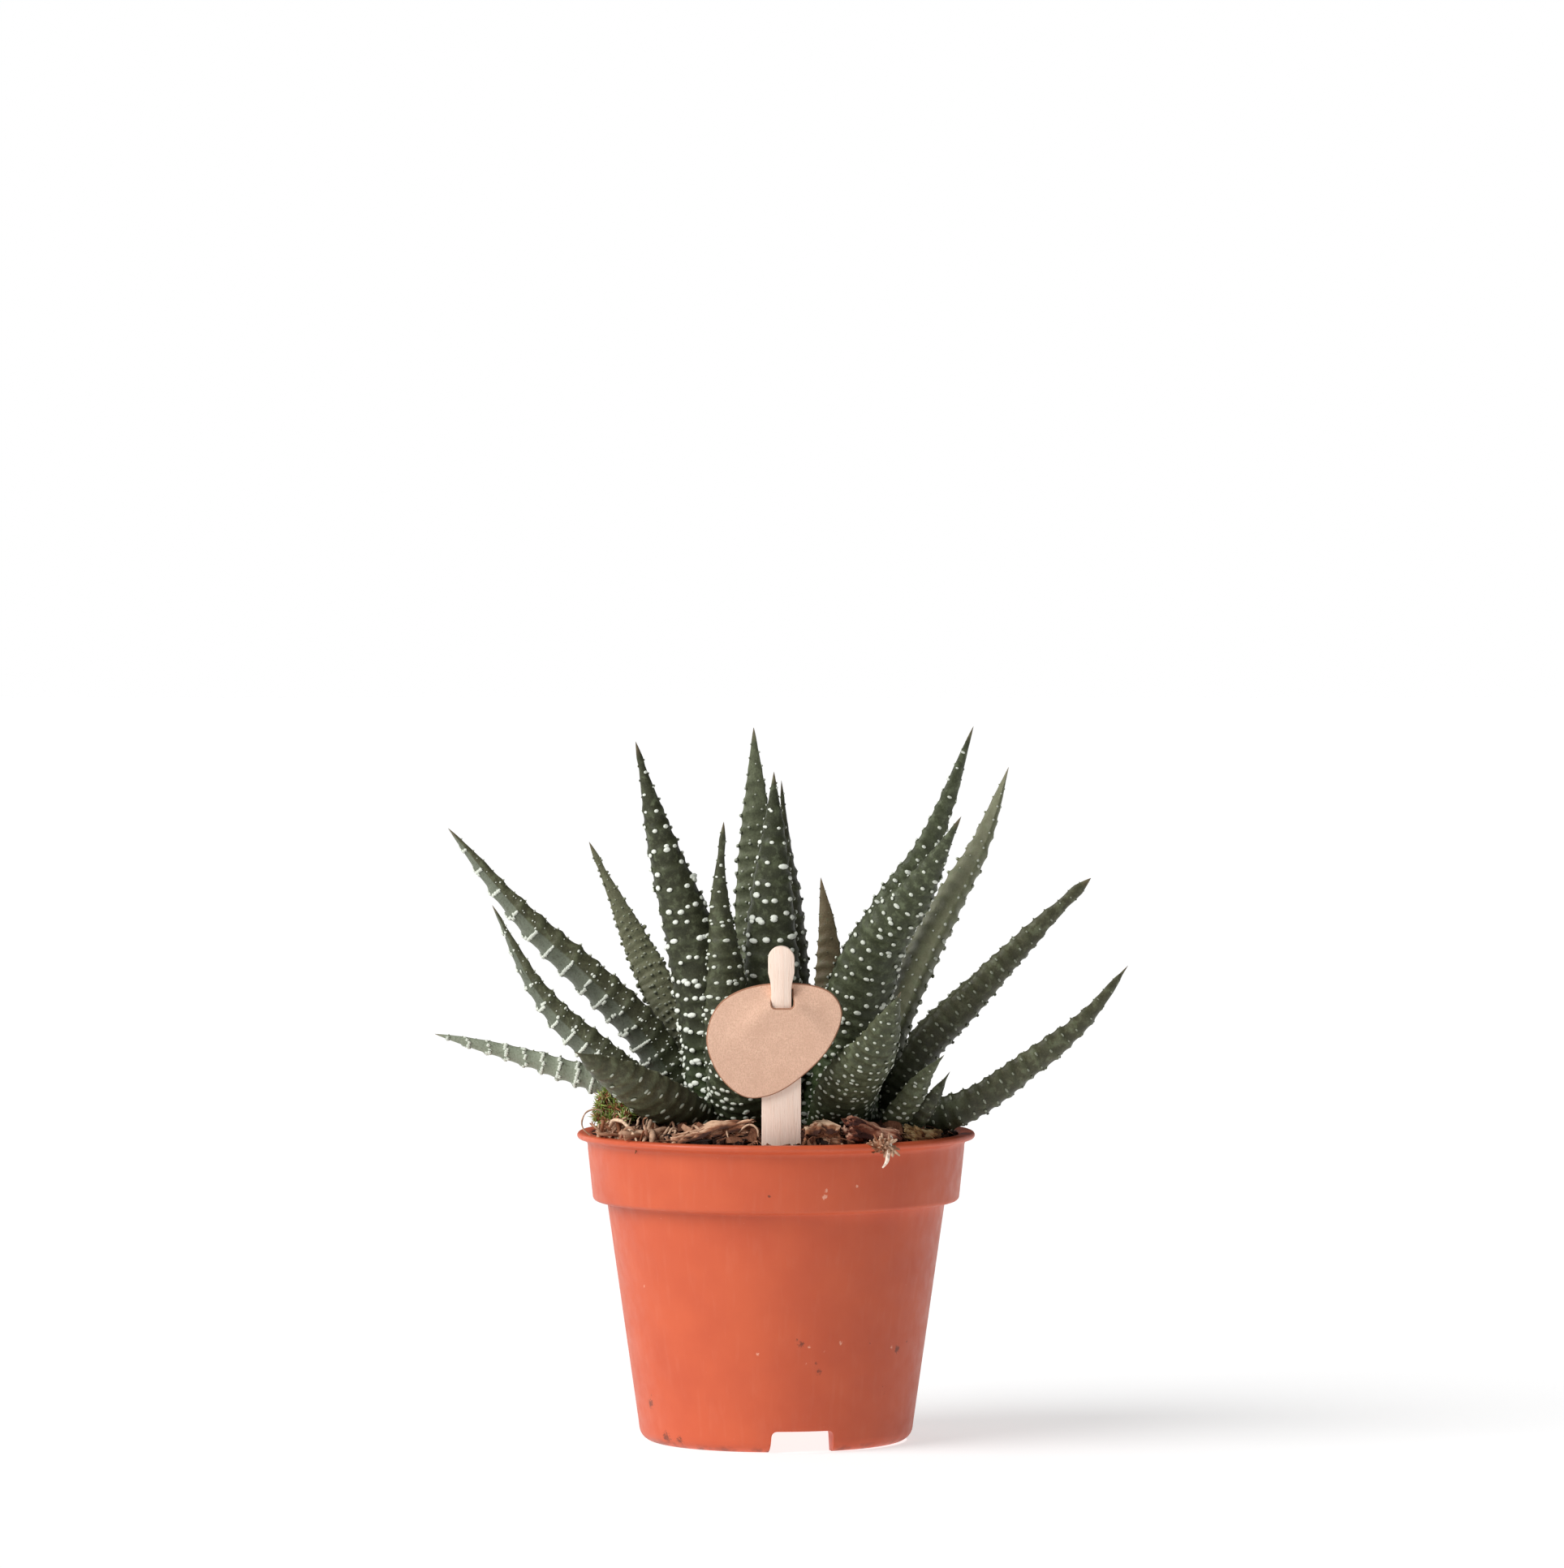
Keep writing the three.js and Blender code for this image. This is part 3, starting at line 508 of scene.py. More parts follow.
# path: the middle line from base to tip. width: at the base. faces: compass direction of the outer side.
# full and power: how soon below the tip the leaf is at its full width. tone: dark 0 to pale 1. warmth:
# green 0 to olive brown 1, and how deep the painted shade at the base is. white: how bright the tubercles
# are. dot: their size. join: how far they run together into bars. rows: distance between two cross rows.
leaves = {
    "leaf_centre_front": {"width": 8.4, "faces": -90, "full": 0.7, "power": 0.95, "seed": 3,
        "path": [(-0.3, -1, 48), (-0.5, -4.5, 62), (-0.7, -7.5, 78), (-0.4, -9, 90), (-0.3, -10, 101.2)],
        "tone": 0.25, "warmth": 0.2, "white": 1.0, "dot": 1.1, "join": 0.1, "rows": 3.0, "uneven": 1.5,
        "gap": 1.7},
    "leaf_centre_tall": {"width": 7.8, "faces": 95, "full": 0.75, "power": 0.9, "seed": 5,
        "path": [(-1.5, 8.5, 48), (-2.3, 11, 65), (-3, 12.5, 83), (-3.1, 13, 94), (-3.4, 13, 107.1)],
        "tone": 0.7, "warmth": 0.1, "white": 0.5, "dot": 0.95, "join": 0.1, "rows": 2.4, "inside": 1.0,
        "gap": 1.5},
    "leaf_left_upright": {"width": 9.6, "faces": -100, "full": 0.85, "power": 1.05, "seed": 8,
        "path": [(-8.2, -3, 48), (-9.8, -5.5, 61.5), (-12.6, -7, 75), (-17.2, -8.5, 90.3),
                 (-21, -9.5, 105.7)],
        "tone": 0.2, "warmth": 0.3, "white": 1.0, "dot": 1.05, "join": 0.1, "rows": 3.2, "gap": 1.45,
        "uneven": 1.6},
    "leaf_right_broad": {"width": 10.2, "faces": -75, "full": 0.75, "power": 1.05, "seed": 11,
        "path": [(10.3, -6, 47.5), (12.0, -9.5, 64), (15.6, -13.5, 75.6), (21.2, -19, 83.8),
                 (27.4, -25, 95.1)],
        "tone": 0.4, "warmth": 0.15, "white": 0.72, "dot": 0.85, "join": 0.0, "rows": 2.35, "gap": 1.55,
        "uneven": 1.4},
    "leaf_centre_narrow": {"width": 6.6, "faces": -20, "full": 0.7, "power": 1.0, "seed": 13,
        "path": [(2.6, 4.5, 48), (3.2, 4.5, 64), (2.8, 3.5, 76.5), (1.6, 2, 88.8), (0.8, 1.5, 99.5)],
        "tone": 0.3, "warmth": 0.4, "white": 0.75, "dot": 0.8, "join": 0.0, "rows": 2.5},
    "leaf_left_thin": {"width": 7.4, "faces": -82, "full": 0.85, "power": 1.2, "seed": 17,
        "path": [(-5.8, -6.5, 48), (-6.9, -9.5, 60), (-7.5, -11, 72), (-8.4, -11.5, 83), (-7.8, -12, 93.8)],
        "tone": 0.45, "warmth": 0.3, "white": 0.8, "dot": 0.85, "join": 0.2, "rows": 2.5, "gap": 1.3},
    "leaf_right_big": {"width": 7.9, "faces": -35, "full": 1.0, "power": 0.8, "seed": 19,
        "path": [(6.8, 0.5, 48.5), (10.4, 1, 66.6), (16.3, 2, 78.7), (23.6, 3, 90.3), (29.8, 3, 107.6)],
        "tone": 0.6, "warmth": 0.15, "white": 0.85, "dot": 0.9, "join": 0.1, "rows": 2.3, "gap": 1.5},
    "leaf_left_back": {"width": 5.1, "faces": 108, "full": 0.6, "power": 1.2, "seed": 23,
        "path": [(-9.2, 3, 49), (-13.5, 5, 58.2), (-17.3, 8, 66.2), (-21.7, 10.5, 75.2), (-28.4, 11, 89.8)],
        "tone": 1.4, "warmth": 0.3, "white": 0.3, "dot": 1.1, "join": 0.2, "rows": 1.5, "gap": 1.0,
        "inside": 1.0, "uneven": 2.4},
    "leaf_left_high": {"width": 7.8, "faces": -140, "full": 1.1, "power": 0.8, "seed": 29,
        "path": [(-13, 3.5, 48.5), (-19.5, 3, 60.1), (-28.8, 2.5, 69.8), (-37.6, 2.5, 78), (-49.5, 3, 92.2)],
        "tone": 0.6, "warmth": 0.45, "white": 0.85, "dot": 0.75, "join": 0.9, "rows": 4.3, "keel": 0.16,
        "gap": 1.7, "uneven": 0.7},
    "leaf_right_back": {"width": 7.2, "faces": 30, "full": 0.7, "power": 0.85, "seed": 31,
        "path": [(15, 3.5, 48), (18.2, 5.5, 62.6), (25, 7.5, 78), (31.2, 9, 89.6), (35.3, 10, 101.2)],
        "tone": 1.4, "warmth": 0.3, "white": 0.6, "dot": 0.9, "join": 0.1, "rows": 2.7, "inside": 0.45},
    "leaf_right_arching": {"width": 6.8, "faces": -38, "full": 1.1, "power": 0.75, "seed": 37,
        "path": [(17.4, -0.5, 47.5), (22.8, -1, 59.1), (28.6, 0, 65.3), (38.5, 1.5, 75.9), (47.5, 2, 84.7)],
        "tone": 0.5, "warmth": 0.5, "white": 0.3, "dot": 0.6, "join": 0.1, "rows": 2.2, "tip": 2.1,
        "gap": 1.6},
    "leaf_small_brown": {"width": 5.0, "faces": 82, "full": 0.75, "power": 0.85, "seed": 41,
        "path": [(6.2, 8.5, 49), (7.8, 10.5, 62), (8.1, 12, 74), (6.8, 12.5, 84.3)], "tone": 1.3,
        "warmth": 1.0, "white": 0.25, "dot": 0.6, "join": 0.0, "rows": 2.2},
    "leaf_left_middle": {"width": 7.3, "faces": -148, "full": 1.05, "power": 0.95, "seed": 43,
        "path": [(-14, -4, 48), (-25.8, -4.5, 57.5), (-35.2, -4, 67), (-42.7, -3, 80.9)], "tone": 0.5,
        "warmth": 0.4, "white": 0.8, "dot": 0.75, "join": 0.9, "rows": 3.5, "keel": 0.18, "gap": 1.7,
        "uneven": 0.7},
    "leaf_front_right": {"width": 10.0, "faces": -68, "full": 0.75, "power": 1.0, "seed": 47,
        "path": [(9.6, -9, 47.4), (11.4, -18, 54.6), (14.8, -26, 60.6), (18.4, -34, 69.7)], "tone": 0.5,
        "warmth": 0.25, "white": 0.55, "dot": 0.65, "join": 0.0, "rows": 2.0, "gap": 1.5, "uneven": 1.3},
    "leaf_behind_tag": {"width": 11.0, "faces": -95, "full": 0.7, "power": 0.9, "seed": 53,
        "path": [(-4, -8, 47), (-4.8, -12.5, 52.5), (-5.2, -16, 58), (-5, -18.5, 66)], "tone": 0.15,
        "warmth": 0.1, "white": 0.7, "dot": 0.8, "join": 0.1, "rows": 2.1, "gap": 1.5},
    "leaf_front_left": {"width": 9.6, "faces": -128, "full": 0.75, "power": 0.85, "seed": 59,
        "path": [(-11, -8, 47), (-18.3, -15, 52.4), (-22.6, -19, 55.5), (-29.8, -25.5, 60.3)], "tone": 0.58,
        "warmth": 0.5, "white": 0.45, "dot": 0.65, "join": 0.5, "rows": 2.8, "keel": 0.0, "uneven": 1.6,
        "gap": 3.0},
    "leaf_left_low": {"width": 5.2, "faces": -165, "full": 1.3, "power": 0.7, "seed": 61,
        "path": [(-15, 5, 48.8), (-24, 7, 52.3), (-33, 8, 55.4), (-40.8, 8.5, 57.8), (-51.8, 9, 60.7)],
        "tone": 1.2, "warmth": 0.1, "white": 0.75, "dot": 0.65, "join": 0.95, "rows": 3.5, "keel": 0.5,
        "gap": 1.7, "uneven": 0.4},
    "leaf_right_low": {"width": 6.2, "faces": -25, "full": 0.95, "power": 0.7, "seed": 67,
        "path": [(18.5, -6, 47.5), (28.8, -7, 50.6), (38.4, -7, 57.2), (46, -7, 63.4), (52.8, -7, 72)],
        "tone": 0.5, "warmth": 0.5, "white": 0.28, "dot": 0.55, "join": 0.3, "rows": 2.7, "gap": 1.8},
    "leaf_front_right_small": {"width": 5.4, "faces": -50, "full": 0.8, "power": 1.0, "seed": 71,
        "path": [(16.5, -10, 46.8), (19.3, -14.5, 51.2), (22.2, -18.5, 56.2), (25, -22, 59.6)], "tone": 0.7,
        "warmth": 0.2, "white": 0.6, "dot": 0.7, "join": 0.0, "rows": 2.2},
    "leaf_front_right_dark": {"width": 4.2, "faces": -30, "full": 0.8, "power": 1.0, "seed": 73,
        "path": [(20.2, -11, 47.4), (23.3, -13, 52.2), (26, -14, 56.6)], "tone": 0.15, "warmth": 0.4,
        "white": 0.3, "dot": 0.6, "join": 0.0, "rows": 2.2},
    "leaf_heart_left_front": {"width": 5.0, "faces": -95, "full": 0.6, "power": 1.1, "seed": 79,
        "path": [(-11.3, 0.2, 49.5), (-11.9, 0, 60), (-13.2, -0.3, 71.5)]},
    "leaf_heart_left_back": {"width": 4.6, "faces": 25, "full": 0.6, "power": 1.1, "seed": 83,
        "path": [(-9.9, 1.9, 49.5), (-9.5, 1.8, 57), (-9.9, 1.2, 66)]},
    "leaf_heart_centre_front": {"width": 4.8, "faces": -115, "full": 0.6, "power": 1.1, "seed": 89,
        "path": [(-0.8, 3.6, 49.5), (-1.1, 3.0, 62), (-1.2, 2.6, 76)]},
    "leaf_heart_centre_back": {"width": 4.4, "faces": 100, "full": 0.6, "power": 1.1, "seed": 97,
        "path": [(-0.4, 6.2, 49.5), (-0.6, 6.9, 61), (-1.2, 7.0, 72.5)]},
    "leaf_heart_right_front": {"width": 5.0, "faces": -80, "full": 0.6, "power": 1.1, "seed": 101,
        "path": [(12, -1.6, 49.5), (12.9, -2.4, 60), (14.6, -4, 71)]},
    "leaf_heart_right_back": {"width": 4.6, "faces": 60, "full": 0.6, "power": 1.1, "seed": 103,
        "path": [(12.7, 1.1, 49.5), (13.7, 1.8, 58), (15.4, 2.2, 67)]},
    "leaf_back_left": {"width": 7.2, "faces": 108, "full": 0.85, "power": 0.95, "seed": 107,
        "path": [(-10.5, 8, 47.5), (-11.8, 15, 60), (-13.8, 22.5, 73), (-16.4, 29, 84)]},
    "leaf_back_left_high": {"width": 6.6, "faces": 140, "full": 0.85, "power": 0.85, "seed": 109,
        "path": [(-14, 9, 47.8), (-19.5, 15, 59.8), (-28.8, 20.5, 69.1), (-37, 26, 76.2)]},
    "leaf_back_left_low": {"width": 6.4, "faces": 135, "full": 0.95, "power": 0.8, "seed": 113,
        "path": [(-13, 13, 47), (-20, 18.5, 52.4), (-26, 23.5, 55.9), (-31.5, 28, 59.6)]},
    "leaf_back_centre": {"width": 7.6, "faces": 92, "full": 0.85, "power": 0.9, "seed": 127,
        "path": [(-1, 13, 47.5), (-0.9, 21, 60), (-0.8, 28, 72), (-0.6, 34, 83.6)]},
    "leaf_back_right": {"width": 7.4, "faces": 75, "full": 0.85, "power": 0.9, "seed": 131,
        "path": [(12.5, 6.5, 47.5), (13.6, 14, 59), (16, 21, 69), (19.2, 27, 77.6)]},
    "leaf_back_right_arching": {"width": 6.4, "faces": 48, "full": 0.95, "power": 0.8, "seed": 137,
        "path": [(17.5, 7, 47.5), (22.2, 13, 58.4), (28.2, 18.5, 65), (35.8, 23, 72.6)]},
    "leaf_back_low": {"width": 8.0, "faces": 85, "full": 0.9, "power": 0.8, "seed": 139,
        "path": [(5, 14, 47), (6, 21, 52.2), (6.4, 27.5, 57.2), (6, 33.5, 62.2)]},
    "leaf_back_low_left": {"width": 7.8, "faces": 98, "full": 0.9, "power": 0.8, "seed": 149,
        "path": [(-6.5, 14.5, 47), (-8, 21, 52.4), (-9, 27, 57.6), (-9.3, 32, 63)]},
}
leafUsual = {"width": 8.0, "full": 0.7, "power": 1.0, "seed": 1, "tone": 0.35, "warmth": 0.3, "white": 0.85,
             "dot": 0.9, "join": 0.1, "rows": 2.7, "gap": 1.9, "tip": 1.0, "keel": 0.0, "uneven": 1.0,
             "inside": 0.7}

# the growth tree's inputs, and the setting that each one takes; the first four are lengths
leafInputs = {
    "Width": "width", "Tip Width": "tip", "Row Spacing": "rows", "Dot Spacing": "gap", "Full Share": "full",
    "Power": "power", "Dot Size": "dot", "Join": "join", "Keel": "keel", "Unevenness": "uneven",
    "Inner Dots": "inside", "Tone": "tone", "Warmth": "warmth", "White": "white", "Seed": "seed",
}
leafLengths = ("width", "tip", "rows", "gap")


def leafLine(path, step):
    # a smooth line through the path's points and a little below them, in equal steps
    points = [Vector(point) for point in path]
    points = [2 * points[0] - points[1], *points, 2 * points[-1] - points[-2]]
    dense = [*lineThrough(points, 60), points[-2]]
    dense.insert(0, dense[0] - (dense[1] - dense[0]).normalized() * leafShape["dip"])
    runs = [0.0]
    for one, other in zip(dense, dense[1:]):
        runs.append(runs[-1] + (other - one).length)
    count = max(8, round(runs[-1] / step))
    line, place = [], 0
    for ring in range(count + 1):
        run = runs[-1] * ring / count
        while place + 2 < len(runs) and runs[place + 1] < run:
            place += 1
        share = (run - runs[place]) / (runs[place + 1] - runs[place])
        line.append(dense[place].lerp(dense[place + 1], min(1.0, max(0.0, share))))
    return line


def leafSkin():
    finish = Finish("haworthia_skin", 0.5, 0.22)
    names = ("tone", "warmth", "white", "lift", "along", "inner", "ridge", "barred")
    tone, warmth, white, lift, along, inner, ridge, barred = map(finish.mark, names)
    soft, fine, blotch = finish.grain(0.35), finish.grain(3.2, 3.0, 0.65), finish.grain(0.85, 4.0, 0.6)
    papillae = finish.cells(3.4)
    mottle = ease(tone, 0.3, 1.5, 1.0, 0.35)
    dark = finish.blend(warmth, srgb(38, 44, 27), srgb(58, 50, 34))
    pale = finish.blend(warmth, srgb(102, 112, 84), srgb(124, 112, 86))
    inside = finish.blend(warmth, srgb(136, 142, 114), srgb(130, 112, 86))
    finish.colour = finish.blend(atLeast(atMost(tone * 0.75 + soft * 0.45 - 0.12, 1.0), 0.0), dark, pale)
    finish.coat(ease(tone, 0.95, 1.5, 0.0, 0.5), srgb(142, 142, 114))
    finish.coat(inner * ease(tone, 0.5, 1.3, 0.35, 0.8), inside)
    finish.coat(ease(papillae, 0.42, 0.12) * 0.22, srgb(118, 124, 96))
    finish.coat(ease(fine, 0.45, 0.75, 0.0, 0.4) * mottle, srgb(30, 32, 20))
    finish.coat(ease(blotch, 0.42, 0.62, 0.45, 0.0) * mottle, srgb(34, 37, 24))
    finish.coat(ease(blotch, 0.53, 0.68, 0.0, 0.42), srgb(116, 126, 98))
    finish.coat(ridge * 0.25, srgb(100, 108, 80))
    smoothHalf = finish.blend(tone, srgb(48, 56, 46), srgb(158, 166, 148))
    finish.coat(barred * ease(fine, 0.75, 0.45, 0.25, 0.7), smoothHalf)
    freshBase = ease(along, 0.28, 0.0) * (1 - warmth) * 0.75
    finish.coat(freshBase, srgb(74, 104, 52))
    # painted shade: each leaf darkens towards its base, where the rosette shades it, and the warmer the leaf,
    # the darker it gets
    paintedShadeAtBase = ease(along, 0.5, 0.05) * warmth * 1.6
    finish.coat(atMost(paintedShadeAtBase, 0.8), srgb(30, 30, 22))
    dryTip = ease(along, 0.96, 1.0) * 0.55
    finish.coat(dryTip, srgb(140, 118, 94))
    chalk = finish.blend(white, srgb(132, 138, 112), srgb(236, 240, 228))
    finish.coat(ease(lift, 0.12, 0.55) * ease(white, 0.0, 0.7, 0.35, 1.0), chalk)
    gloss = ease(soft, 0.3, 0.7, 0.38, 0.54)
    return finish.wear(gloss, fine * 0.5 + papillae * 0.4 + blotch * 0.6, 0.6, 0.11)


def leafSetting(key, leaf):
    return leaf[key] * mm if key in leafLengths else leaf[key]


def leafTree(skin):
    grow = Growth("leaf_growth", {"Faces": (0.0, -1.0, 0.0), **{
        label: leafSetting(key, leafUsual) for label, key in leafInputs.items()}})
    given, seed, chance = grow.given, grow.given["Seed"], grow.chance
    run, total = grow.read("SplineParameter", "Length"), grow.read("SplineLength", "Length")
    step = total / (grow.read("SplineLength", "Point Count") - 1)
    along = (run - leafShape["dip"] * mm) / (total - leafShape["dip"] * mm)
    reach = atMost(atLeast((1 - along) / given["Full Share"], 0.0) ** given["Power"], 1.0)
    local = atLeast(given["Width"] * calc("SINE", reach * (halfTurn / 2)), given["Tip Width"])
    point = atMost((total - run) / (leafShape["tipReach"] * mm), 1.0) ** leafShape["tipPower"]
    local = local * atLeast(point, leafShape["tipLeast"])
    way, facing = grow.read("InputTangent"), given["Faces"]
    outward = turn("NORMALIZE", turn("SUBTRACT", facing, stretched(way, turn("DOT_PRODUCT", facing, way))))
    line = grow.node("MeshToCurve", {"Mesh": given["Geometry"]})
    line = grow.node("SetCurveNormal", {"Curve": line, "Normal": outward}, mode="FREE")
    for name, value in (("run", run), ("along", along), ("local", local), ("step", step)):
        line = grow.remember(line, name, value)
    line = grow.remember(line, "way", way, "FLOAT_VECTOR")
    shift = local * ((leafShape["innerShare"] - leafShape["depthShare"]) / 2)
    line = grow.node("SetPosition", {"Geometry": line, "Offset": stretched(outward, shift)})

    # the cross section, half as wide as 1: domed outside, nearly flat inside; its x axis points outward
    outerSteps, innerSteps = leafShape["outerSteps"], leafShape["innerSteps"]
    section = grow.node("CurvePrimitiveCircle", {"Resolution": outerSteps + innerSteps})
    index = grow.read("InputIndex")
    isInner = index > outerSteps - 0.5
    angle, share = index * (halfTurn / outerSteps), (index - outerSteps) / innerSteps
    dome = xyz(calc("SINE", angle) * (2 * leafShape["depthShare"]), 0 - calc("COSINE", angle), 0.0)
    flat = xyz(calc("SINE", share * halfTurn) * (-2 * leafShape["innerShare"]), 0 - (share * 2 - 1), 0.0)
    outline = addNode(grow.tree, "ShaderNodeMix", {0: isInner, 4: dome, 5: flat}, data_type="VECTOR")
    section = grow.node("SetPosition", {"Geometry": section, "Position": outline.outputs[1]})
    around = (1 - isInner) * (index / outerSteps - 0.5) + isInner * (share + 0.5)
    section = grow.remember(section, "side", around)
    section = grow.remember(section, "inner", isInner)
    swept = grow.node("CurveToMesh", {"Curve": line, "Profile Curve": section, "Fill Caps": True,
                                      "Scale": grow.recall("local") / 2})
    skinShape = grow.node("SetShadeSmooth", {"Geometry": swept})

    # how far along the leaf each place is, counted in cross rows
    runHere, stepHere, localHere, alongHere, side = (
        grow.recall(name) for name in ("run", "step", "local", "along", "side"))
    wander = (grow.noise(leafShape["wanderScale"], seed) - 0.5) * leafShape["wander"] * given["Unevenness"]
    wander = wander + (grow.noise(leafShape["waverScale"], seed) - 0.5) * leafShape["waver"]
    wander = wander + calc("COSINE", side * halfTurn) * leafShape["bow"]

    def crowding(distance):
        return calc("EXPONENT", distance * (-1 / (leafShape["crowdReach"] * mm)))

    def phaseAt(distance):
        return distance / given["Row Spacing"] + leafShape["crowdRows"] * (1 - crowding(distance)) + wander

    phase, before, crowd = phaseAt(runHere), phaseAt(runHere - stepHere), crowding(runHere)
    away = abs(calc("FRACT", phase + 0.5) - 0.5)
    ridge = calc("EXPONENT", away * away * -30.0) * ease(localHere, 1.4 * mm, 4 * mm)
    skinShape = grow.remember(skinShape, "ridge", ridge)
    normal = grow.read("InputNormal")
    lumps = addNode(grow.tree, "ShaderNodeTexNoise", {"Scale": leafShape["lumpScale"], "Detail": 2.0})
    swell = (Term(lumps.outputs[0]) - 0.5) * (leafShape["lumps"] * mm)
    swell = grow.recall("ridge") * (leafShape["ridge"] * mm) + swell
    swell = swell * ease(localHere, 0.5 * mm, 3 * mm)
    skinShape = grow.node("SetPosition", {"Geometry": skinShape, "Offset": stretched(normal, swell)})

    # a keeled leaf carries thin bars on one side of its keel and small dots on the other
    keel, margin = given["Keel"], abs(side)
    ownSide, bound = side * calc("SIGN", keel), abs(keel)
    split = bound > 0.01
    barred = split * (ownSide < bound) * (margin < 0.52)
    skinShape = grow.remember(skinShape, "barred", barred)

    def within(ends, out=margin):
        return (out < ends[0]) * (alongHere < ends[1])

    def everySo(place, stepSize, gap, offset):
        return passed(place / gap + offset, (place - stepSize) / gap + offset)

    row, isRow = calc("FLOOR", phase), passed(phase, before)
    dotGap = given["Dot Spacing"] * (1 - 0.4 * crowd)
    stagger = calc("FRACT", row * 0.5) + scatter(row, seed) * 0.35
    arc = localHere * (0.93 * halfTurn / 2)
    isDot = everySo(side * arc, arc / outerSteps, dotGap, stagger) * isRow * within(leafShape["dotEnds"])
    isDot = isDot * (1 - barred) * (chance(0.0, 1.0, seed) > leafShape["dotsMissing"])
    isBar = isRow * barred * within(leafShape["barEnds"])
    isBar = isBar * (chance(0.0, 1.0, seed + 5) > leafShape["barsMissing"])
    isKnob = isRow * split * (abs(ownSide - bound) < 0.02) * (bound < 0.45)
    isKnob = isKnob * (alongHere < leafShape["barEnds"][1])
    isSpot = everySo((side - 1.0) * localHere, localHere / innerSteps, dotGap * 0.9, stagger) * isRow
    isSpot = isSpot * within(leafShape["spotEnds"], abs(side - 1.0))
    isSpot = isSpot * (chance(0.0, 1.0, seed + 7) < given["Inner Dots"])
    dotted = split * (ownSide > bound + 0.03) * (margin < leafShape["fineEnds"][0])
    isFine = everySo(side * arc, arc / outerSteps, leafShape["fineGap"] * mm, stagger * 1.7)
    isFine = isFine * passed(phase * 2.0 + 0.5, before * 2.0 + 0.5)
    isFine = isFine * dotted * (alongHere < leafShape["fineEnds"][1])
    isTooth = everySo(runHere, stepHere, leafShape["toothGap"] * mm, side * 0.5)
    isTooth = isTooth * (abs(margin - 0.5) < 0.01) * (alongHere < leafShape["toothEnd"])

    grown = ease(localHere, 1.5 * mm, 5.5 * mm, 0.55, 1.0) * given["Dot Size"] * chance(0.75, 1.12, seed + 1)
    plump, join = grown * (1 - 0.25 * dotted), given["Join"] * (1 - dotted)
    doubled = chance(0.0, 1.0, seed + 3) > 0.8
    longer = 1 + join * chance(0.5, 1.5, seed + 2) + crowd * 0.3 + 0.4 * doubled
    thick = chance(0.75, 1.25, seed + 4)
    dot, bar = leafShape["dot"], leafShape["bar"]
    dotScale = xyz(plump * longer * (dot[0] * mm), plump * (1 - 0.25 * join) * (dot[1] * mm),
                   plump * (dot[2] * mm))
    barScale = xyz(arc * (bar[0] / outerSteps), thick * (bar[1] * mm), thick * (bar[2] * mm))

    def sized(kind, share=grown):
        return xyz(*(share * (length * mm) for length in leafShape[kind]))

    def raised(tool, **shape):
        # a small shape that remembers how far each of its corners stands up
        whole = grow.node("SetShadeSmooth", {"Geometry": grow.node(tool, {"Radius": 1.0, **shape})})
        return grow.remember(whole, "lift", grow.upright())

    bead, knob = (raised("MeshUVSphere", Segments=count, Rings=5) for count in (8, 6))
    crumb = raised("MeshIcoSphere", Subdivisions=1)
    stand = addNode(grow.tree, "FunctionNodeAxesToRotation",
                    {"Primary Axis": normal, "Secondary Axis": grow.recall("way", "FLOAT_VECTOR")},
                    primary_axis="Z", secondary_axis="Y")

    def laid(selection, tool, scale, jitter, shift):
        tools = grow.node("InstanceOnPoints", {"Points": skinShape, "Selection": selection, "Instance": tool,
                                               "Rotation": stand, "Scale": scale})
        astray = chance((-jitter, -jitter, -0.15), (jitter, jitter, 0.1), seed + shift)
        inputs = {"Instances": tools, "Translation": astray, "Local Space": True}
        return grow.node("TranslateInstances", inputs)

    jitter = leafShape["jitter"]
    shapes = [
        skinShape,
        laid(isDot, bead, dotScale, jitter, 11),
        laid(isSpot, crumb, sized("spot"), jitter, 12),
        laid(isFine, crumb, sized("spot", grown * leafShape["fine"]), jitter, 13),
        laid(isTooth, knob, sized("tooth"), 0.2, 14),
        laid(isBar, crumb, barScale, 0.1, 15),
        laid(isKnob, bead, sized("knob"), 0.2, 16),
    ]
    whole = grow.node("RealizeInstances", {"Geometry": grow.join(shapes)})
    for name in ("Tone", "Warmth", "White"):
        whole = grow.remember(whole, name.lower(), given[name])
    return grow.finish(whole, skin)


def makeLeaves():
    tree = leafTree(leafSkin())
    faces = 0
    for node, given in leaves.items():
        leaf = {**leafUsual, **given}
        line = leafLine(leaf["path"], leafShape["ringStep"])
        edges = [(place, place + 1) for place in range(len(line) - 1)]
        piece = newPiece("grown_" + node, [point * mm for point in line], [], edges)
        compass = math.radians(leaf["faces"])
        values = {label: leafSetting(key, leaf) for label, key in leafInputs.items()}
        growOn(piece, tree, {"Faces": (math.cos(compass), math.sin(compass), 0.0), **values})
        faces += len(piece.data.polygons)
        settle(piece, "leaf", node)
    print("leaves:", len(leaves), "pieces,", faces, "faces")


def makeStems():
    finish = Finish("stem_skin", 0.6, 0.3)
    streak = finish.grain(1.2, 4.0, stretch=(1.0, 1.0, 0.3))
    finish.colour = finish.blend(ease(streak, 0.35, 0.65), srgb(112, 118, 74), srgb(84, 74, 48))
    material = finish.wear(None, streak, 0.5, 0.2)
    for node in ("stem_left", "stem_centre", "stem_right"):
        dress(cad[node], material)


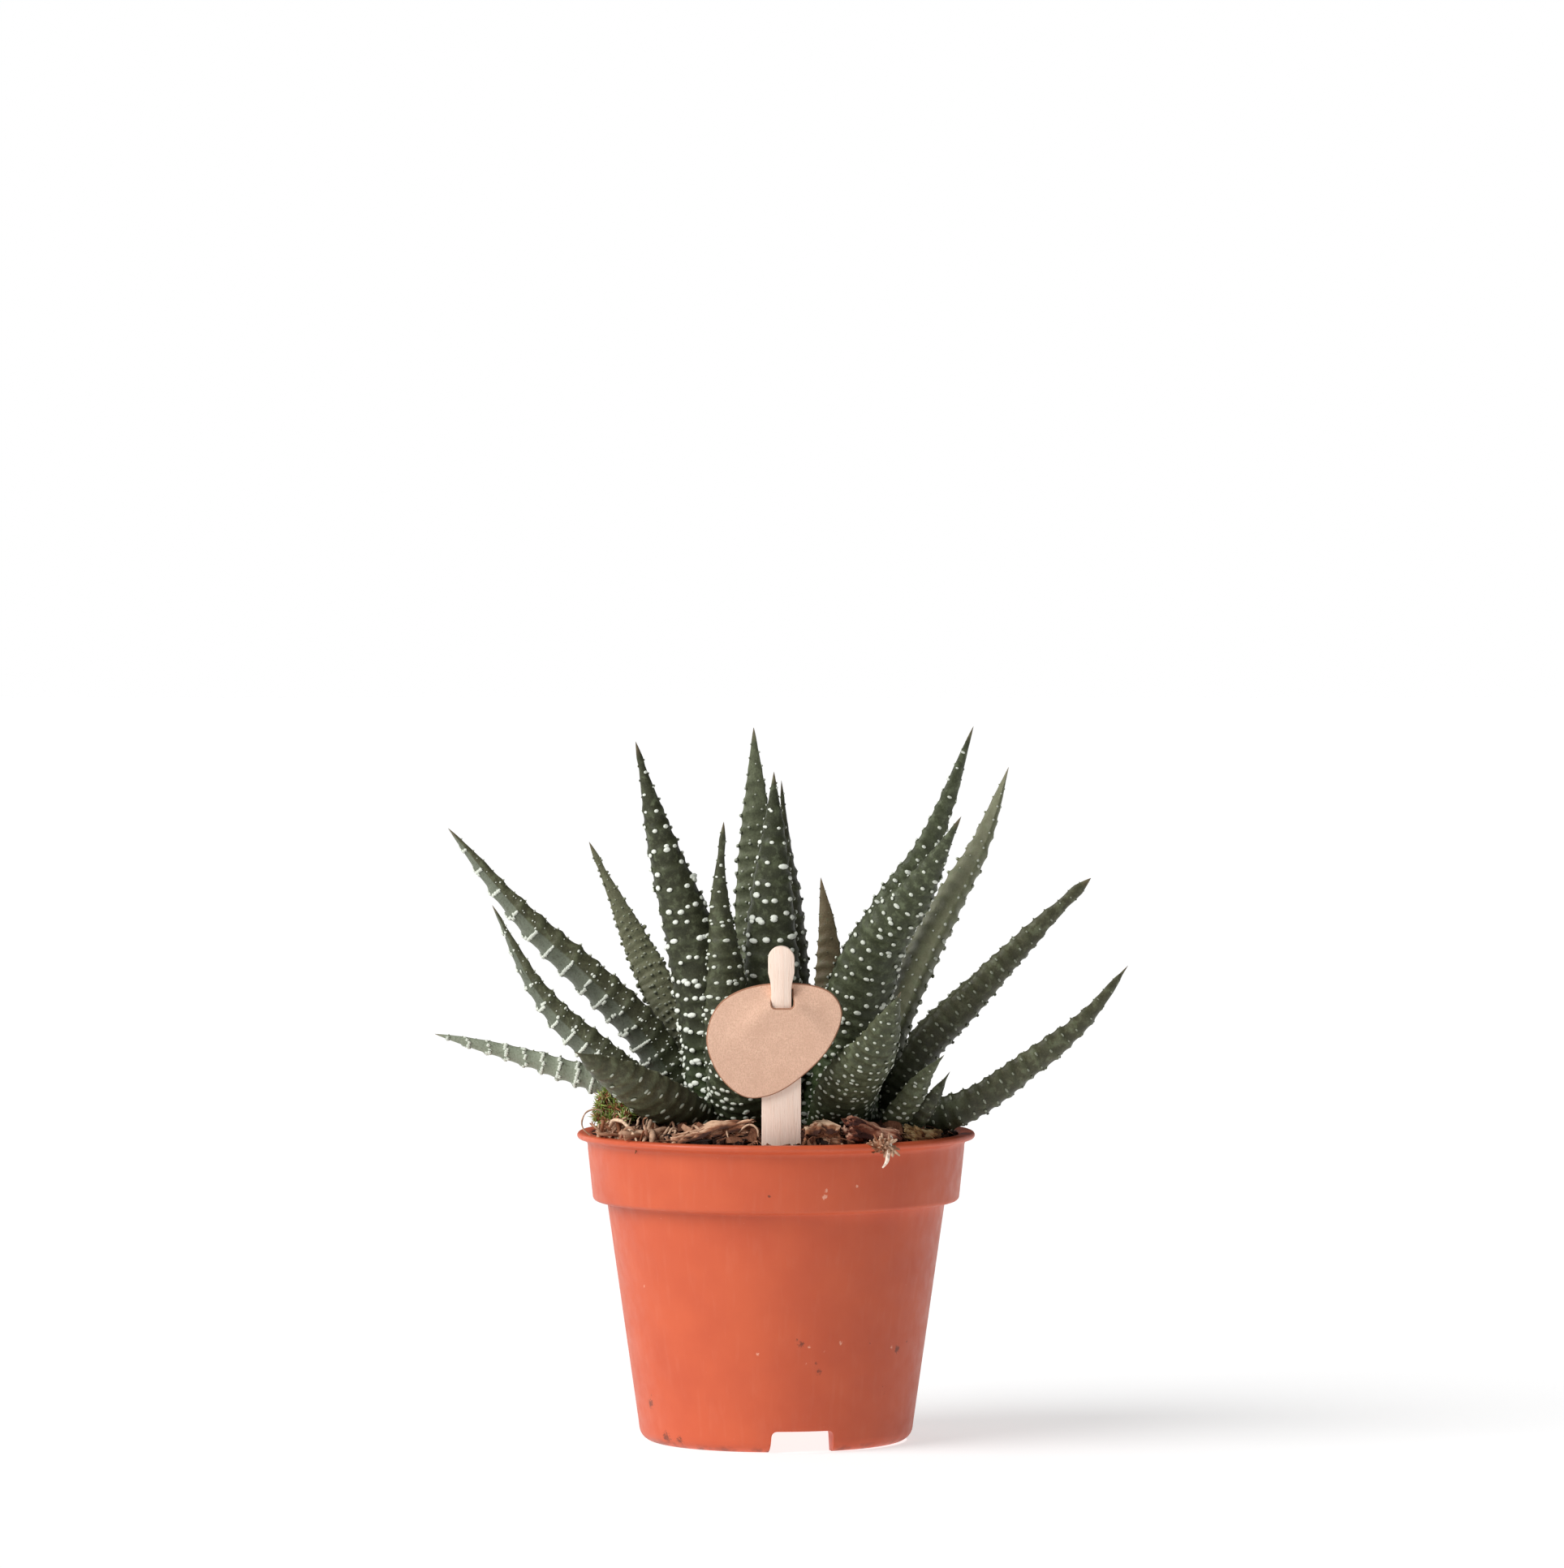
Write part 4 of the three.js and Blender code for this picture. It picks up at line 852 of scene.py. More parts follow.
label = {
    "at": (0.8, -23.5, 46), "tilt": 6, "width": 5.85, "thickness": 1.0, "depth": 32, "neckWidth": 3.0,
    "headWidth": 3.9, "headTop": 30.2, "neckTop": 24.6, "neckFoot": 19.2, "shoulderRise": 2.2,
    "pointInset": 1.2, "pointRise": 3.0, "stickEdge": 0.14,
    "wood": srgb(255, 232, 216), "grainLine": srgb(250, 216, 195),
    "cardThickness": 0.6, "slotWidth": 3.26, "slotTop": 2.96, "slotShift": 0.17, "slotFoot": 21.0,
    "slotHead": 23.6,
    "slotCorner": 0.6, "gap": 0.12, "cardEdge": 0.17, "bendMargin": 0.2,
    # outwards from the slot the bend spreads from the first reach to the second, down and up by so much
    "bendReach": (1.4, 9.0), "bendSpread": (7.0, 4.0), "cardGrid": 0.6,
    "cardSpan": ((-12, 10), (7, 25)), "cardWeld": 0.001,
    "outline": [(-11.1, 16.2), (-9.6, 21.0), (-5.8, 23.6), (2.2, 24.5), (7.3, 23.2), (9.0, 20.3),
                (7.1, 15.1), (2.2, 10.1), (-1.8, 7.9), (-5.4, 7.7), (-9.0, 10.6)],
    "kraft": srgb(234, 193, 168), "kraftDark": srgb(214, 172, 147), "fleck": srgb(160, 112, 84),
}


def labelTurn():
    tilt = Matrix.Rotation(math.radians(label["tilt"]), 4, "X")
    return Matrix.Translation(Vector(label["at"]) * mm) @ tilt


def curveThrough(start, bend, end, steps=4):
    shares = [step / steps for step in range(1, steps + 1)]
    return [tuple(a * (1 - t) ** 2 + 2 * b * t * (1 - t) + c * t * t for a, b, c in zip(start, bend, end))
            for t in shares]


def stickOutline():
    blade, neck, head = label["width"] / 2, label["neckWidth"] / 2, label["headWidth"] / 2
    foot, top, neckTop = label["neckFoot"], label["headTop"], label["neckTop"]
    right = [(blade - label["pointInset"], -label["depth"]), (blade, -label["depth"] + label["pointRise"])]
    right += [(blade, foot - label["shoulderRise"])]
    right += curveThrough(right[-1], (blade, foot - 0.6), (neck, foot))
    right += [(neck, neckTop - 1)]
    right += curveThrough(right[-1], (neck, neckTop), (head, neckTop + 1.6))
    right += roundCorner((0, top - head), head, 0, 90, 10)[:-1]
    return right + [(0, top)] + [(-x, z) for x, z in reversed(right)]


def stickWood():
    finish = Finish("pale_wood_stick", 0.62, 0.3)
    tilted = (math.radians(-label["tilt"]), 0.0, 0.0)
    lines = finish.grain(3.2, 4.0, 0.6, stretch=(1.0, 0.4, 0.035), turned=tilted)
    pores = finish.grain(7.0, 2.0, stretch=(1.0, 0.5, 0.06), turned=tilted)
    cloud = finish.grain(0.16, 2.0)
    finish.colour = finish.blend(ease(lines, 0.42, 0.68, 0.0, 0.55), label["wood"], label["grainLine"])
    finish.coat(ease(pores, 0.62, 0.72, 0.0, 0.35), srgb(204, 164, 128))
    finish.coat(ease(cloud, 0.4, 0.7, 0.0, 0.25), srgb(248, 218, 196))
    return finish.wear(None, lines + pores * 0.6, 0.45, 0.12)


def kraftCard():
    finish = Finish("kraft_card", 0.8, 0.2)
    mottled = finish.grain(0.5, 4.0, 0.6)
    pulp = finish.grain(5.5, 3.0, 0.75, stretch=(1.0, 1.0, 0.6))
    fibre = finish.grain(5.0, 2.0, stretch=(0.25, 1.0, 1.0), turned=(0.0, 0.5, 0.0))
    fleck = ease(finish.cells(1.1), 0.1, 0.05) * ease(finish.grain(1.4, 2.0), 0.5, 0.6)
    finish.colour = finish.blend(ease(mottled, 0.35, 0.7, 0.0, 0.6), label["kraft"], label["kraftDark"])
    finish.coat(ease(pulp, 0.44, 0.58, 0.0, 0.9), label["kraftDark"])
    finish.coat(ease(fibre, 0.6, 0.72, 0.0, 0.5), srgb(240, 206, 178))
    finish.coat(fleck * 0.6, label["fleck"])
    finish.coat(finish.mark("rim") * 0.8, srgb(150, 98, 70))
    return finish.wear(None, pulp + fibre * 0.4, 0.4, 0.08)


def cardBend(across, height):
    # the card runs in front of the blade below, through its slot, and behind the neck above
    stand = (label["thickness"] + label["cardThickness"]) / 2 + label["gap"]
    near, far = label["bendReach"]
    spread = min(1.0, max(0.0, (abs(across - label["slotShift"]) - near) / (far - near)))
    spread *= spread * (3 - 2 * spread)
    low = label["slotFoot"] - label["bendMargin"] - spread * label["bendSpread"][0]
    high = label["slotHead"] + label["bendMargin"] + spread * label["bendSpread"][1]
    share = min(1.0, max(0.0, (height - low) / (high - low)))
    return stand * (2 * share * share * (3 - 2 * share) - 1)


def cardLines():
    # the card's rim, and the slot, a little narrower at its head
    points = [Vector(point) for point in label["outline"]]
    rim = lineThrough([points[-1], *points, points[0], points[1]], 9)
    foot, head, corner = label["slotFoot"], label["slotHead"], label["slotCorner"]
    left, right = (label["slotShift"] + side * label["slotWidth"] / 2 for side in (-1, 1))
    inset = (label["slotWidth"] - label["slotTop"]) / 2
    opening = roundCorner((left + corner, foot + corner), corner, 180, 270, 5)
    opening += roundCorner((right - corner, foot + corner), corner, 270, 360, 5)
    opening += [(right, foot + 1.0), (right - inset, foot + 1.5), (right - inset, head), (left + inset, head),
                (left + inset, foot + 1.5), (left, foot + 1.0)]
    return rim, opening


def flatCard():
    # a filled curve with rounded edges, stood upright and cut into a grid fine enough to bend
    lines = bpy.data.curves.new("card_lines", "CURVE")
    lines.dimensions = "2D"
    lines.fill_mode = "BOTH"
    lines.bevel_depth = label["cardEdge"] * mm
    lines.offset = -label["cardEdge"] * mm
    lines.extrude = (label["cardThickness"] / 2 - label["cardEdge"]) * mm
    lines.bevel_resolution = 2
    for points in cardLines():
        line = lines.splines.new("POLY")
        line.points.add(len(points) - 1)
        for spot, (across, height) in zip(line.points, points):
            spot.co = (across * mm, height * mm, 0, 1)
        line.use_cyclic_u = True
    drawn = placed("card_lines", lines)
    flat = bpy.data.meshes.new_from_object(drawn.evaluated_get(bpy.context.evaluated_depsgraph_get()))
    bpy.data.objects.remove(drawn)
    shape = bmesh.new()
    shape.from_mesh(flat)
    bpy.data.meshes.remove(flat)
    shape.transform(Matrix.Rotation(halfTurn / 2, 4, "X"))
    bmesh.ops.remove_doubles(shape, verts=shape.verts[:], dist=label["cardWeld"] * mm)
    step = label["cardGrid"]
    for axis, (start, end) in zip(((1, 0, 0), (0, 0, 1)), label["cardSpan"]):
        for place in range(round((end - start) / step)):
            cut = Vector(axis) * (start + place * step) * mm
            whole = shape.verts[:] + shape.edges[:] + shape.faces[:]
            bmesh.ops.bisect_plane(shape, geom=whole, plane_co=cut, plane_no=axis,
                                   dist=label["cardWeld"] * mm)
    bmesh.ops.recalc_face_normals(shape, faces=shape.faces[:])
    return shape


def makeLabel():
    stick = prism("planed_stick", stickOutline(), -label["thickness"] / 2, label["thickness"] / 2)
    roundEdges(stick, label["stickEdge"], 50)
    bakeShape(stick)
    smooth(stick, 35)
    stick.data.transform(labelTurn())
    dress(stick, stickWood())
    settle(stick, "stick_wood", "label_stick")

    shape = flatCard()
    shape.normal_update()
    rim = [float(abs(face.normal.y) < 0.97) for face in shape.faces]
    for corner in shape.verts:
        corner.co.y += cardBend(corner.co.x / mm, corner.co.z / mm) * mm
    card = fromShape("kraft_tag", shape)
    card.data.transform(labelTurn())
    card.data.attributes.new("rim", "FLOAT", "FACE").data.foreach_set("value", rim)
    smooth(card, 35)
    dress(card, kraftCard())
    settle(card, "kraft_card", "tag")
    print("label:", len(stick.data.polygons), "and", len(card.data.polygons), "faces")


soil = {
    "top": 45.2, "crown": 1.3, "crownReach": 28.0, "lumps": 0.75, "mound": 1.9, "moundRing": 22.0,
    "moundWidth": 3.2, "clearing": 4.2, "reach": 26.9, "rings": 46, "segments": 132, "wallGap": 0.35,
    "strewnReach": 26.0, "strewnFloor": 44.2, "spin": 6.2832, "seed": 21,
    # how many loose pieces to the square metre, then their seed shift, tumble, size, darkest and palest tone
    "counts": {"Crumbs": 620000.0, "Clods": 90000.0, "Bark Bits": 190000.0, "Fibres": 200000.0},
    "loose": {
        "Crumbs": (10, 3.14, (1.5, 1.5, 1.3), (0.0, 0.75)),
        "Clods": (40, 3.14, (3.4, 3.0, 2.6), (0.15, 0.85)),
        "Bark Bits": (20, 0.45, (5.6, 5.0, 4.8), (-0.25, 1.1)),
        "Fibres": (30, 0.5, (7.5, 6.0, 5.0), (0.45, 1.1)),
    },
}


def soilHeight(x, y):
    r = math.hypot(x, y)
    slope = soil["crown"] * (1 - (r / soil["crownReach"]) ** 2)
    mound = soil["mound"] * math.exp(-((r - soil["moundRing"]) / soil["moundWidth"]) ** 2)
    if y < 0:
        mound *= 1 - math.exp(-((x - label["at"][0]) / soil["clearing"]) ** 2)
    lump = wobble.noise(Vector((x, y, 3.0)) * 0.32) + 0.5 * wobble.noise(Vector((x, y, 9.0)) * 0.9)
    return soil["top"] + slope + mound + soil["lumps"] * lump


def soilStuff():
    finish = Finish("peat_and_bark", 0.88, 0.25)
    fine = finish.grain(2.6, 5.0, 0.7)
    shade = finish.mark("tone") * 0.8 + fine * 0.5 - 0.22
    finish.shades(shade, (0.0, srgb(38, 24, 20)), (0.25, srgb(66, 42, 32)), (0.5, srgb(112, 72, 52)),
                  (0.7, srgb(166, 116, 88)), (0.86, srgb(212, 168, 138)), (1.0, srgb(240, 214, 192)))
    damp = finish.grain(0.25, 2.0)
    finish.coat(ease(damp, 0.55, 0.75, 0.0, 0.4), srgb(44, 30, 24))
    return finish.wear(None, fine, 0.7, 0.35)


def soilTree(stuff):
    grow = Growth("soil_scatter", {**soil["counts"], "Reach": 0.026, "Floor": 0.044, "Seed": 1})
    given, seed = grow.given, grow.given["Seed"]
    x, y, z = parts(grow.read("InputPosition"))
    onTop = ((x * x + y * y) ** 0.5 < given["Reach"]) * (z > given["Floor"])

    def lump(size, cuts, scale, place, push):
        block = grow.node("MeshCube", {"Size": size, "Vertices X": cuts[0], "Vertices Y": cuts[1],
                                       "Vertices Z": cuts[2]})
        stir = turn("SUBTRACT", grow.noise(scale, place, "Color"), (0.5, 0.5, 0.5))
        return grow.node("SetPosition", {"Geometry": block, "Offset": turn("MULTIPLY", stir, push)})

    def crumb(kind):
        return lump((1.0, 0.8, 0.65), (4, 4, 3), 1.9, 3.7 * kind, (1.1, 1.1, 1.1))

    def bit(kind):
        return lump((1.0, 0.34, 0.2), (5, 3, 2), 3.1, 5.1 * kind + 2.0, (0.5, 0.4, 0.35))

    def fibre(kind):
        middle = (0.1 * kind, 0.12 + 0.16 * kind, 0.3)
        hair = grow.node("CurveQuadraticBezier", {"Resolution": 6, "Start": (-0.5, 0.0, 0.0),
                                                  "Middle": middle, "End": (0.5, -0.1, 0.0)})
        ring = grow.node("CurvePrimitiveCircle", {"Resolution": 3, "Radius": 0.018})
        return grow.node("CurveToMesh", {"Curve": hair, "Profile Curve": ring, "Fill Caps": True})

    makers = {"Crumbs": crumb, "Clods": crumb, "Bark Bits": bit, "Fibres": fibre}
    shapes = [given["Geometry"]]
    for name, (shift, tumble, size, tones) in soil["loose"].items():
        kinds = [grow.node("GeometryToInstance", {"Geometry": makers[name](kind)}) for kind in (2, 1, 0)]
        points = grow.node("DistributePointsOnFaces", {"Mesh": given["Geometry"], "Selection": onTop,
                                                       "Density": given[name], "Seed": seed + shift})
        spin = grow.chance((-tumble, -tumble, 0.0), (tumble, tumble, soil["spin"]), seed + shift + 1)
        share = grow.chance(0.45, 1.0, seed + shift + 2)
        scale = xyz(*(share * (length * mm) for length in size))
        laid = grow.node("InstanceOnPoints", {"Points": points, "Instance": grow.join(kinds),
                                              "Pick Instance": True, "Rotation": spin, "Scale": scale})
        tone = grow.chance(*tones, seed + shift + 3)
        shapes.append(grow.remember(laid, "tone", tone, domain="INSTANCE"))
    return grow.finish(grow.join(shapes), stuff)


def soilBed():
    count, rings, gap = soil["segments"], soil["rings"], soil["wallGap"]
    collarFoot = pot["height"] - pot["collarHeight"]
    foot, shoulder = pot["footHeight"] + pot["wall"] + gap, collarFoot + pot["wall"] + gap
    levels = [(soil["reach"] * ring / rings, None, ring) for ring in range(1, rings + 1)]
    levels += [(pot["collarLow"] - pot["wall"] - gap, shoulder + 0.1, rings),
               (potInside(collarFoot) - gap, shoulder, rings), (potInside(foot) - gap, foot, rings)]
    corners, faces = [(0, 0, soilHeight(0, 0))], []
    for r, z, ring in levels:
        for step in range(count):
            angle = fullTurn * (step + 0.5 * (ring % 2)) / count
            x, y = r * math.cos(angle), r * math.sin(angle)
            corners.append((x, y, soilHeight(x, y) if z is None else z))
    corners.append((0, 0, foot))
    last = 1 + (rings + 2) * count
    for step in range(count):
        after = (step + 1) % count
        faces.append((0, 1 + step, 1 + after))
        for ring in range(rings + 2):
            a, b = 1 + ring * count + step, 1 + ring * count + after
            faces.append((a, a + count, b + count, b))
        faces.append((last + step, len(corners) - 1, last + after))
    return newPiece("potting_mix", [Vector(corner) * mm for corner in corners], faces)


def makeSoil():
    piece = soilBed()
    smooth(piece)
    growOn(piece, soilTree(soilStuff()), {**soil["counts"], "Reach": soil["strewnReach"] * mm,
                                          "Floor": soil["strewnFloor"] * mm, "Seed": soil["seed"]})
    settle(piece, "soil_mix", "soil")
    print("soil:", len(piece.data.polygons), "faces")


chips = {
    "bark_front_left": {"at": (-9.3, -21, 47.3), "size": (11, 3.4, 2.4), "turn": 8, "lean": 12, "seed": 1,
                        "shades": (srgb(64, 36, 26), srgb(150, 98, 70), srgb(230, 188, 156))},
    "bark_front_right": {"at": (6.6, -22.2, 47.2), "size": (5.2, 3.4, 3.4), "turn": 12, "lean": 6, "seed": 2,
                         "shades": (srgb(66, 36, 26), srgb(150, 98, 68), srgb(232, 196, 164))},
    "bark_reddish": {"at": (14.2, -20.2, 47.5), "size": (7.6, 3.6, 3.4), "turn": 26, "lean": -8, "seed": 3,
                     "shades": (srgb(60, 30, 24), srgb(142, 82, 60), srgb(226, 178, 150))},
    "chip_yellowish": {"at": (21.9, -13, 47), "size": (6.2, 2.6, 2.2), "turn": 58, "lean": -4, "seed": 4,
                       "shades": (srgb(120, 84, 52), srgb(190, 152, 102), srgb(226, 200, 152))},
    "bark_back_left": {"at": (-20.8, 12, 46.6), "size": (6.5, 4, 2.6), "turn": 62, "lean": 5, "seed": 5,
                       "shades": (srgb(70, 44, 34), srgb(122, 78, 56), srgb(176, 132, 102))},
    "bark_back_right": {"at": (15.5, 19, 46.6), "size": (7.4, 4, 2.6), "turn": -35, "lean": -6, "seed": 6,
                        "shades": (srgb(80, 48, 36), srgb(136, 88, 62), srgb(192, 150, 116))},
}


def barkFinish(name, chip):
    finish = Finish(name, 0.75, 0.3)
    turned = (0.0, 0.0, math.radians(-chip["turn"]))
    lines = finish.grain(1.6, 5.0, 0.65, stretch=(0.18, 1.0, 1.0), turned=turned)
    broken = finish.grain(1.2, 4.0)
    dark, middle, pale = chip["shades"]
    # painted shade and highlight: this mark darkens the grooves between the strands and lightens the strands;
    # the lines and the broken grain are the bark's own
    shade = finish.mark("painted_groove_shade") * 0.5 + lines * 0.4 + broken * 0.15
    finish.shades(shade, (0.4, dark), (0.53, middle), (0.68, pale))
    return finish.wear(None, lines + broken * 0.5, 0.8, 0.3)


def makeChips():
    for node, chip in chips.items():
        shape = bmesh.new()
        bmesh.ops.create_cube(shape, size=1.0)
        bmesh.ops.subdivide_edges(shape, edges=shape.edges[:], cuts=17, use_grid_fill=True)
        (long, wide, high), seed = chip["size"], chip["seed"]
        painted_groove_shade = shape.verts.layers.float.new("painted_groove_shade")
        for corner in shape.verts:
            u, v, w = corner.co
            drift = Vector((u * 2.2, v, w)) * 2.0 + Vector((0, 0, seed * 7.3))
            rounding = 1 - 0.22 * (abs(v * 2) ** 3 * abs(w * 2) ** 3)
            ragged = 1 + 0.34 * wobble.noise(Vector((seed, v * 6, w * 6)))
            body = 1 + 0.34 * wobble.noise(Vector((u * 3.1, seed * 3.0, 0.0)))
            strands = wobble.noise(Vector((u * 2.2 + seed, v * 7 + u * 2, w * 7 + seed)))
            # kept for the colour as painted shade and highlight: low where the strands sink, high where they
            # stand out
            corner[painted_groove_shade] = min(1.0, max(0.0, 0.5 + 0.8 * strands))
            fibres = 0.26 * strands + 0.07 * wobble.noise(Vector((u * 12, v * 16, w * 16 + seed)))
            bend = 0.16 * math.sin(u * 3 + seed)
            corner.co = Vector((u * long * ragged, (v * body * rounding + fibres + 0.5 * bend) * wide,
                                (w * body * rounding + fibres + bend) * high))
            corner.co += 0.4 * wobble.noise_vector(drift)
        piece = fromShape("splintered_" + node, shape)
        lean = Matrix.Rotation(math.radians(-chip["lean"]), 4, "Y")
        spin = Matrix.Rotation(math.radians(chip["turn"]), 4, "Z")
        piece.data.transform(Matrix.Scale(mm, 4) @ Matrix.Translation(chip["at"]) @ spin @ lean)
        smooth(piece, 50)
        dress(piece, barkFinish("finish_of_" + node, chip))
        settle(piece, "pale_wood" if node == "chip_yellowish" else "bark", node)
    print("chips:", len(chips))


moss = {
    "at": (-24, -6.5, 49.6), "blades": 15000000.0, "bladeLength": 1.15, "seed": 6,
    "lean": 0.8, "spin": 6.2832,
    "cushions": [
        ((0.2, 0, -0.4), 1.5), ((-1.2, -1.6, -1.2), 1.1), ((1.4, 1.2, 0.2), 1.3), ((1.2, -0.8, 1.8), 0.9),
        ((-0.9, 1.2, 2.1), 0.8), ((0.9, -2.6, -0.8), 0.8), ((-1.5, 0.5, 0.7), 0.8), ((0.5, 0.2, 2.9), 0.8),
        ((2.0, 0.4, 2.2), 0.8), ((1.9, -1.6, 0.2), 0.8), ((0.2, -0.9, 0.9), 0.9), ((0.3, 0.2, -2.0), 1.7),
        ((0.3, 0.0, 4.2), 0.9), ((-1.2, 0.3, 3.3), 0.9), ((-2.3, -0.3, 1.2), 0.9), ((-2.6, 0.0, -0.4), 0.8),
        ((-1.9, 0.2, 2.3), 0.8), ((1.7, 0.2, 3.5), 0.8),
    ],
}


def mossGreen():
    finish = Finish("moss_green", 0.8, 0.2)
    finish.shades(finish.mark("tone"), (0.0, srgb(166, 92, 66)), (0.2, srgb(194, 152, 108)),
                  (0.36, srgb(112, 146, 58)), (0.7, srgb(150, 182, 84)), (1.0, srgb(232, 226, 176)))
    low = finish.blend(0.35, finish.colour, srgb(70, 72, 34))
    finish.colour = finish.blend(finish.mark("lift"), low, finish.colour)
    return finish.wear(None, finish.grain(3.0))


def mossTree(stuff):
    grow = Growth("moss_blades", {"Density": 15000000.0, "Blade Length": 0.0015, "Seed": 1})
    given, seed = grow.given, grow.given["Seed"]
    points = grow.node("DistributePointsOnFaces", {"Mesh": given["Geometry"], "Density": given["Density"],
                                                   "Seed": seed})
    blade = grow.node("MeshCone", {"Vertices": 4, "Side Segments": 2, "Radius Top": 0.1, "Radius Bottom": 0.5,
                                   "Depth": 1.0})
    blade = grow.remember(blade, "lift", grow.upright())
    lean, spin = moss["lean"], moss["spin"]
    lean = grow.chance((-lean, -lean, 0.0), (lean, lean, spin), seed + 1)
    turned = addNode(grow.tree, "FunctionNodeRotateRotation", {0: points.outputs["Rotation"], 1: lean},
                     rotation_space="LOCAL")
    length = given["Blade Length"] * grow.chance(0.55, 1.1, seed + 2)
    grown = grow.node("InstanceOnPoints", {"Points": points, "Instance": blade, "Rotation": turned,
                                           "Scale": xyz(length * 0.3, length * 0.16, length)})
    grown = grow.remember(grown, "tone", grow.chance(0.0, 1.0, seed + 3), domain="INSTANCE")
    return grow.finish(grow.join([given["Geometry"], grown]), stuff)


def makeMoss():
    shape = bmesh.new()
    for shift, radius in moss["cushions"]:
        lump = bmesh.ops.create_icosphere(shape, subdivisions=3, radius=radius)
        for corner in lump["verts"]:
            swell = 0.8 + 0.45 * wobble.noise(corner.co * 0.9 + Vector(shift))
            corner.co = (corner.co * swell + Vector(moss["at"]) + Vector(shift)) * mm
    piece = fromShape("mossy_tuft", shape)
    smooth(piece)
    growOn(piece, mossTree(mossGreen()), {"Density": moss["blades"], "Blade Length": moss["bladeLength"] * mm,
                                          "Seed": moss["seed"]})
    settle(piece, "moss", "moss_tuft")
    print("moss:", len(piece.data.polygons), "faces")


# points from end to end, radius, and how pale: 0 tan to 1 cream
roots = [
    {"path": [(16.9, -22.5, 47.2), (17.0, -24.6, 47.5), (16.9, -25.7, 46.9), (16.8, -26.0, 46.0),
              (16.6, -26.0, 45.0), (16.4, -25.9, 44.0), (15.8, -25.7, 43.1)], "radius": 0.3, "pale": 1.4},
    {"path": [(-27.6, -8.5, 46.4), (-28.9, -8.5, 47.6), (-29.1, -8.5, 48.7), (-28.4, -8.5, 50.1),
              (-26.9, -8.4, 50.5), (-26.0, -8.2, 50.1)], "radius": 0.12, "pale": 0.4},
    {"path": [(-24.9, -11.6, 47.8), (-24.4, -13.0, 49.1), (-23.0, -15.2, 49.2), (-21.6, -18.0, 48.0),
              (-20.7, -20.0, 46.6)], "radius": 0.27, "pale": 0.85},
    {"path": [(-18.9, -17.0, 47.2), (-18.5, -19.3, 47.9), (-18.3, -20.8, 47.3), (-18.5, -21.6, 46.2)],
     "radius": 0.5, "pale": 0.45},
    {"path": [(-6.0, -21.5, 47.6), (-4.0, -22.0, 49.2), (-2.8, -22.2, 48.6), (-2.6, -22.4, 46.6)],
     "radius": 0.16, "pale": 0.6},
    {"path": [(4.5, -23.5, 46.6), (6.0, -23.2, 48.6), (8.0, -22.6, 48.7), (9.4, -22.8, 47.4),
              (9.9, -23.6, 46.2)], "radius": 0.24, "pale": 0.4},
]
rootlets = {"count": 74, "ring": (17.5, 26.2), "reach": (2.2, 6.5), "thick": (0.07, 0.24), "rise": 1.3,
            "lie": 0.35, "pale": (0.1, 1.0), "seed": 12}
# tangles of peat and root: one hangs on the lip, the others lie at the left
tangles = [
    {"count": 46, "at": (15.9, -25.7, 46.3), "half": (1.4, 0.35, 0.4), "thick": (0.13, 0.28), "stride": 0.32,
     "curl": 1.1, "seed": 36},
    {"count": 48, "at": (-24.0, -11.5, 47.1), "half": (2.8, 2.6, 0.9), "thick": (0.1, 0.34), "stride": 0.6,
     "curl": 0.45, "seed": 32},
    {"count": 30, "at": (-19.2, -17.6, 47.1), "half": (2.6, 1.8, 0.8), "thick": (0.1, 0.4), "stride": 0.55,
     "curl": 0.45, "seed": 33},
]


def strayRoots():
    # thin roots that lie on the soil near the rim, thickest together at the left
    luck = random.Random(rootlets["seed"])
    strays = []
    for place in range(rootlets["count"]):
        towards = math.radians(luck.gauss(215, 26) if place % 2 else luck.uniform(0, 360))
        out, run = luck.uniform(*rootlets["ring"]), luck.uniform(*rootlets["reach"])
        spot = Vector((out * math.cos(towards), out * math.sin(towards), 0))
        way, path = luck.uniform(0, fullTurn), []
        for step in range(5):
            lift = rootlets["rise"] * math.sin(halfTurn * step / 4) * luck.uniform(0.4, 1.0)
            far = min(1.0, rootlets["ring"][1] / max(spot.length, 1e-6))
            x, y = spot.x * far, spot.y * far
            path.append((x, y, soilHeight(x, y) + rootlets["lie"] + lift))
            spot += Vector((math.cos(way), math.sin(way), 0)) * run / 4
            way += luck.gauss(0, 0.75)
        strays.append({"path": path, "radius": luck.uniform(*rootlets["thick"]),
                       "pale": luck.uniform(*rootlets["pale"])})
    return strays


def tangledRoots():
    strands = []
    for tangle in tangles:
        luck = random.Random(tangle["seed"])
        for strand in range(tangle["count"]):
            sides = zip(tangle["at"], tangle["half"])
            spot = Vector([middle + half * luck.gauss(0, 0.5) for middle, half in sides])
            axis = Vector([luck.gauss(0, 1) for part in range(3)]).normalized()
            path, way = [], axis.orthogonal().normalized()
            for step in range(6):
                path.append(tuple(spot))
                stray = Vector([luck.gauss(0, 0.2) for part in range(3)])
                way = way + axis.cross(way) * tangle["curl"] + stray
                way.normalize()
                spot = spot + way * tangle["stride"]
            strands.append({"path": path, "radius": luck.uniform(*tangle["thick"]),
                            "pale": luck.uniform(-0.1, 0.65)})
    return strands


def rootBark():
    finish = Finish("dry_root", 0.7, 0.3)
    along = finish.grain(1.5, 4.0)
    finish.shades(finish.mark("pale") * 0.6, (0.0, srgb(142, 88, 58)), (0.6, srgb(250, 218, 186)),
                  (0.85, srgb(255, 238, 220)))
    finish.coat(ease(along, 0.45, 0.7, 0.0, 0.7), srgb(120, 78, 54))
    return finish.wear(None, along, 0.4, 0.1)


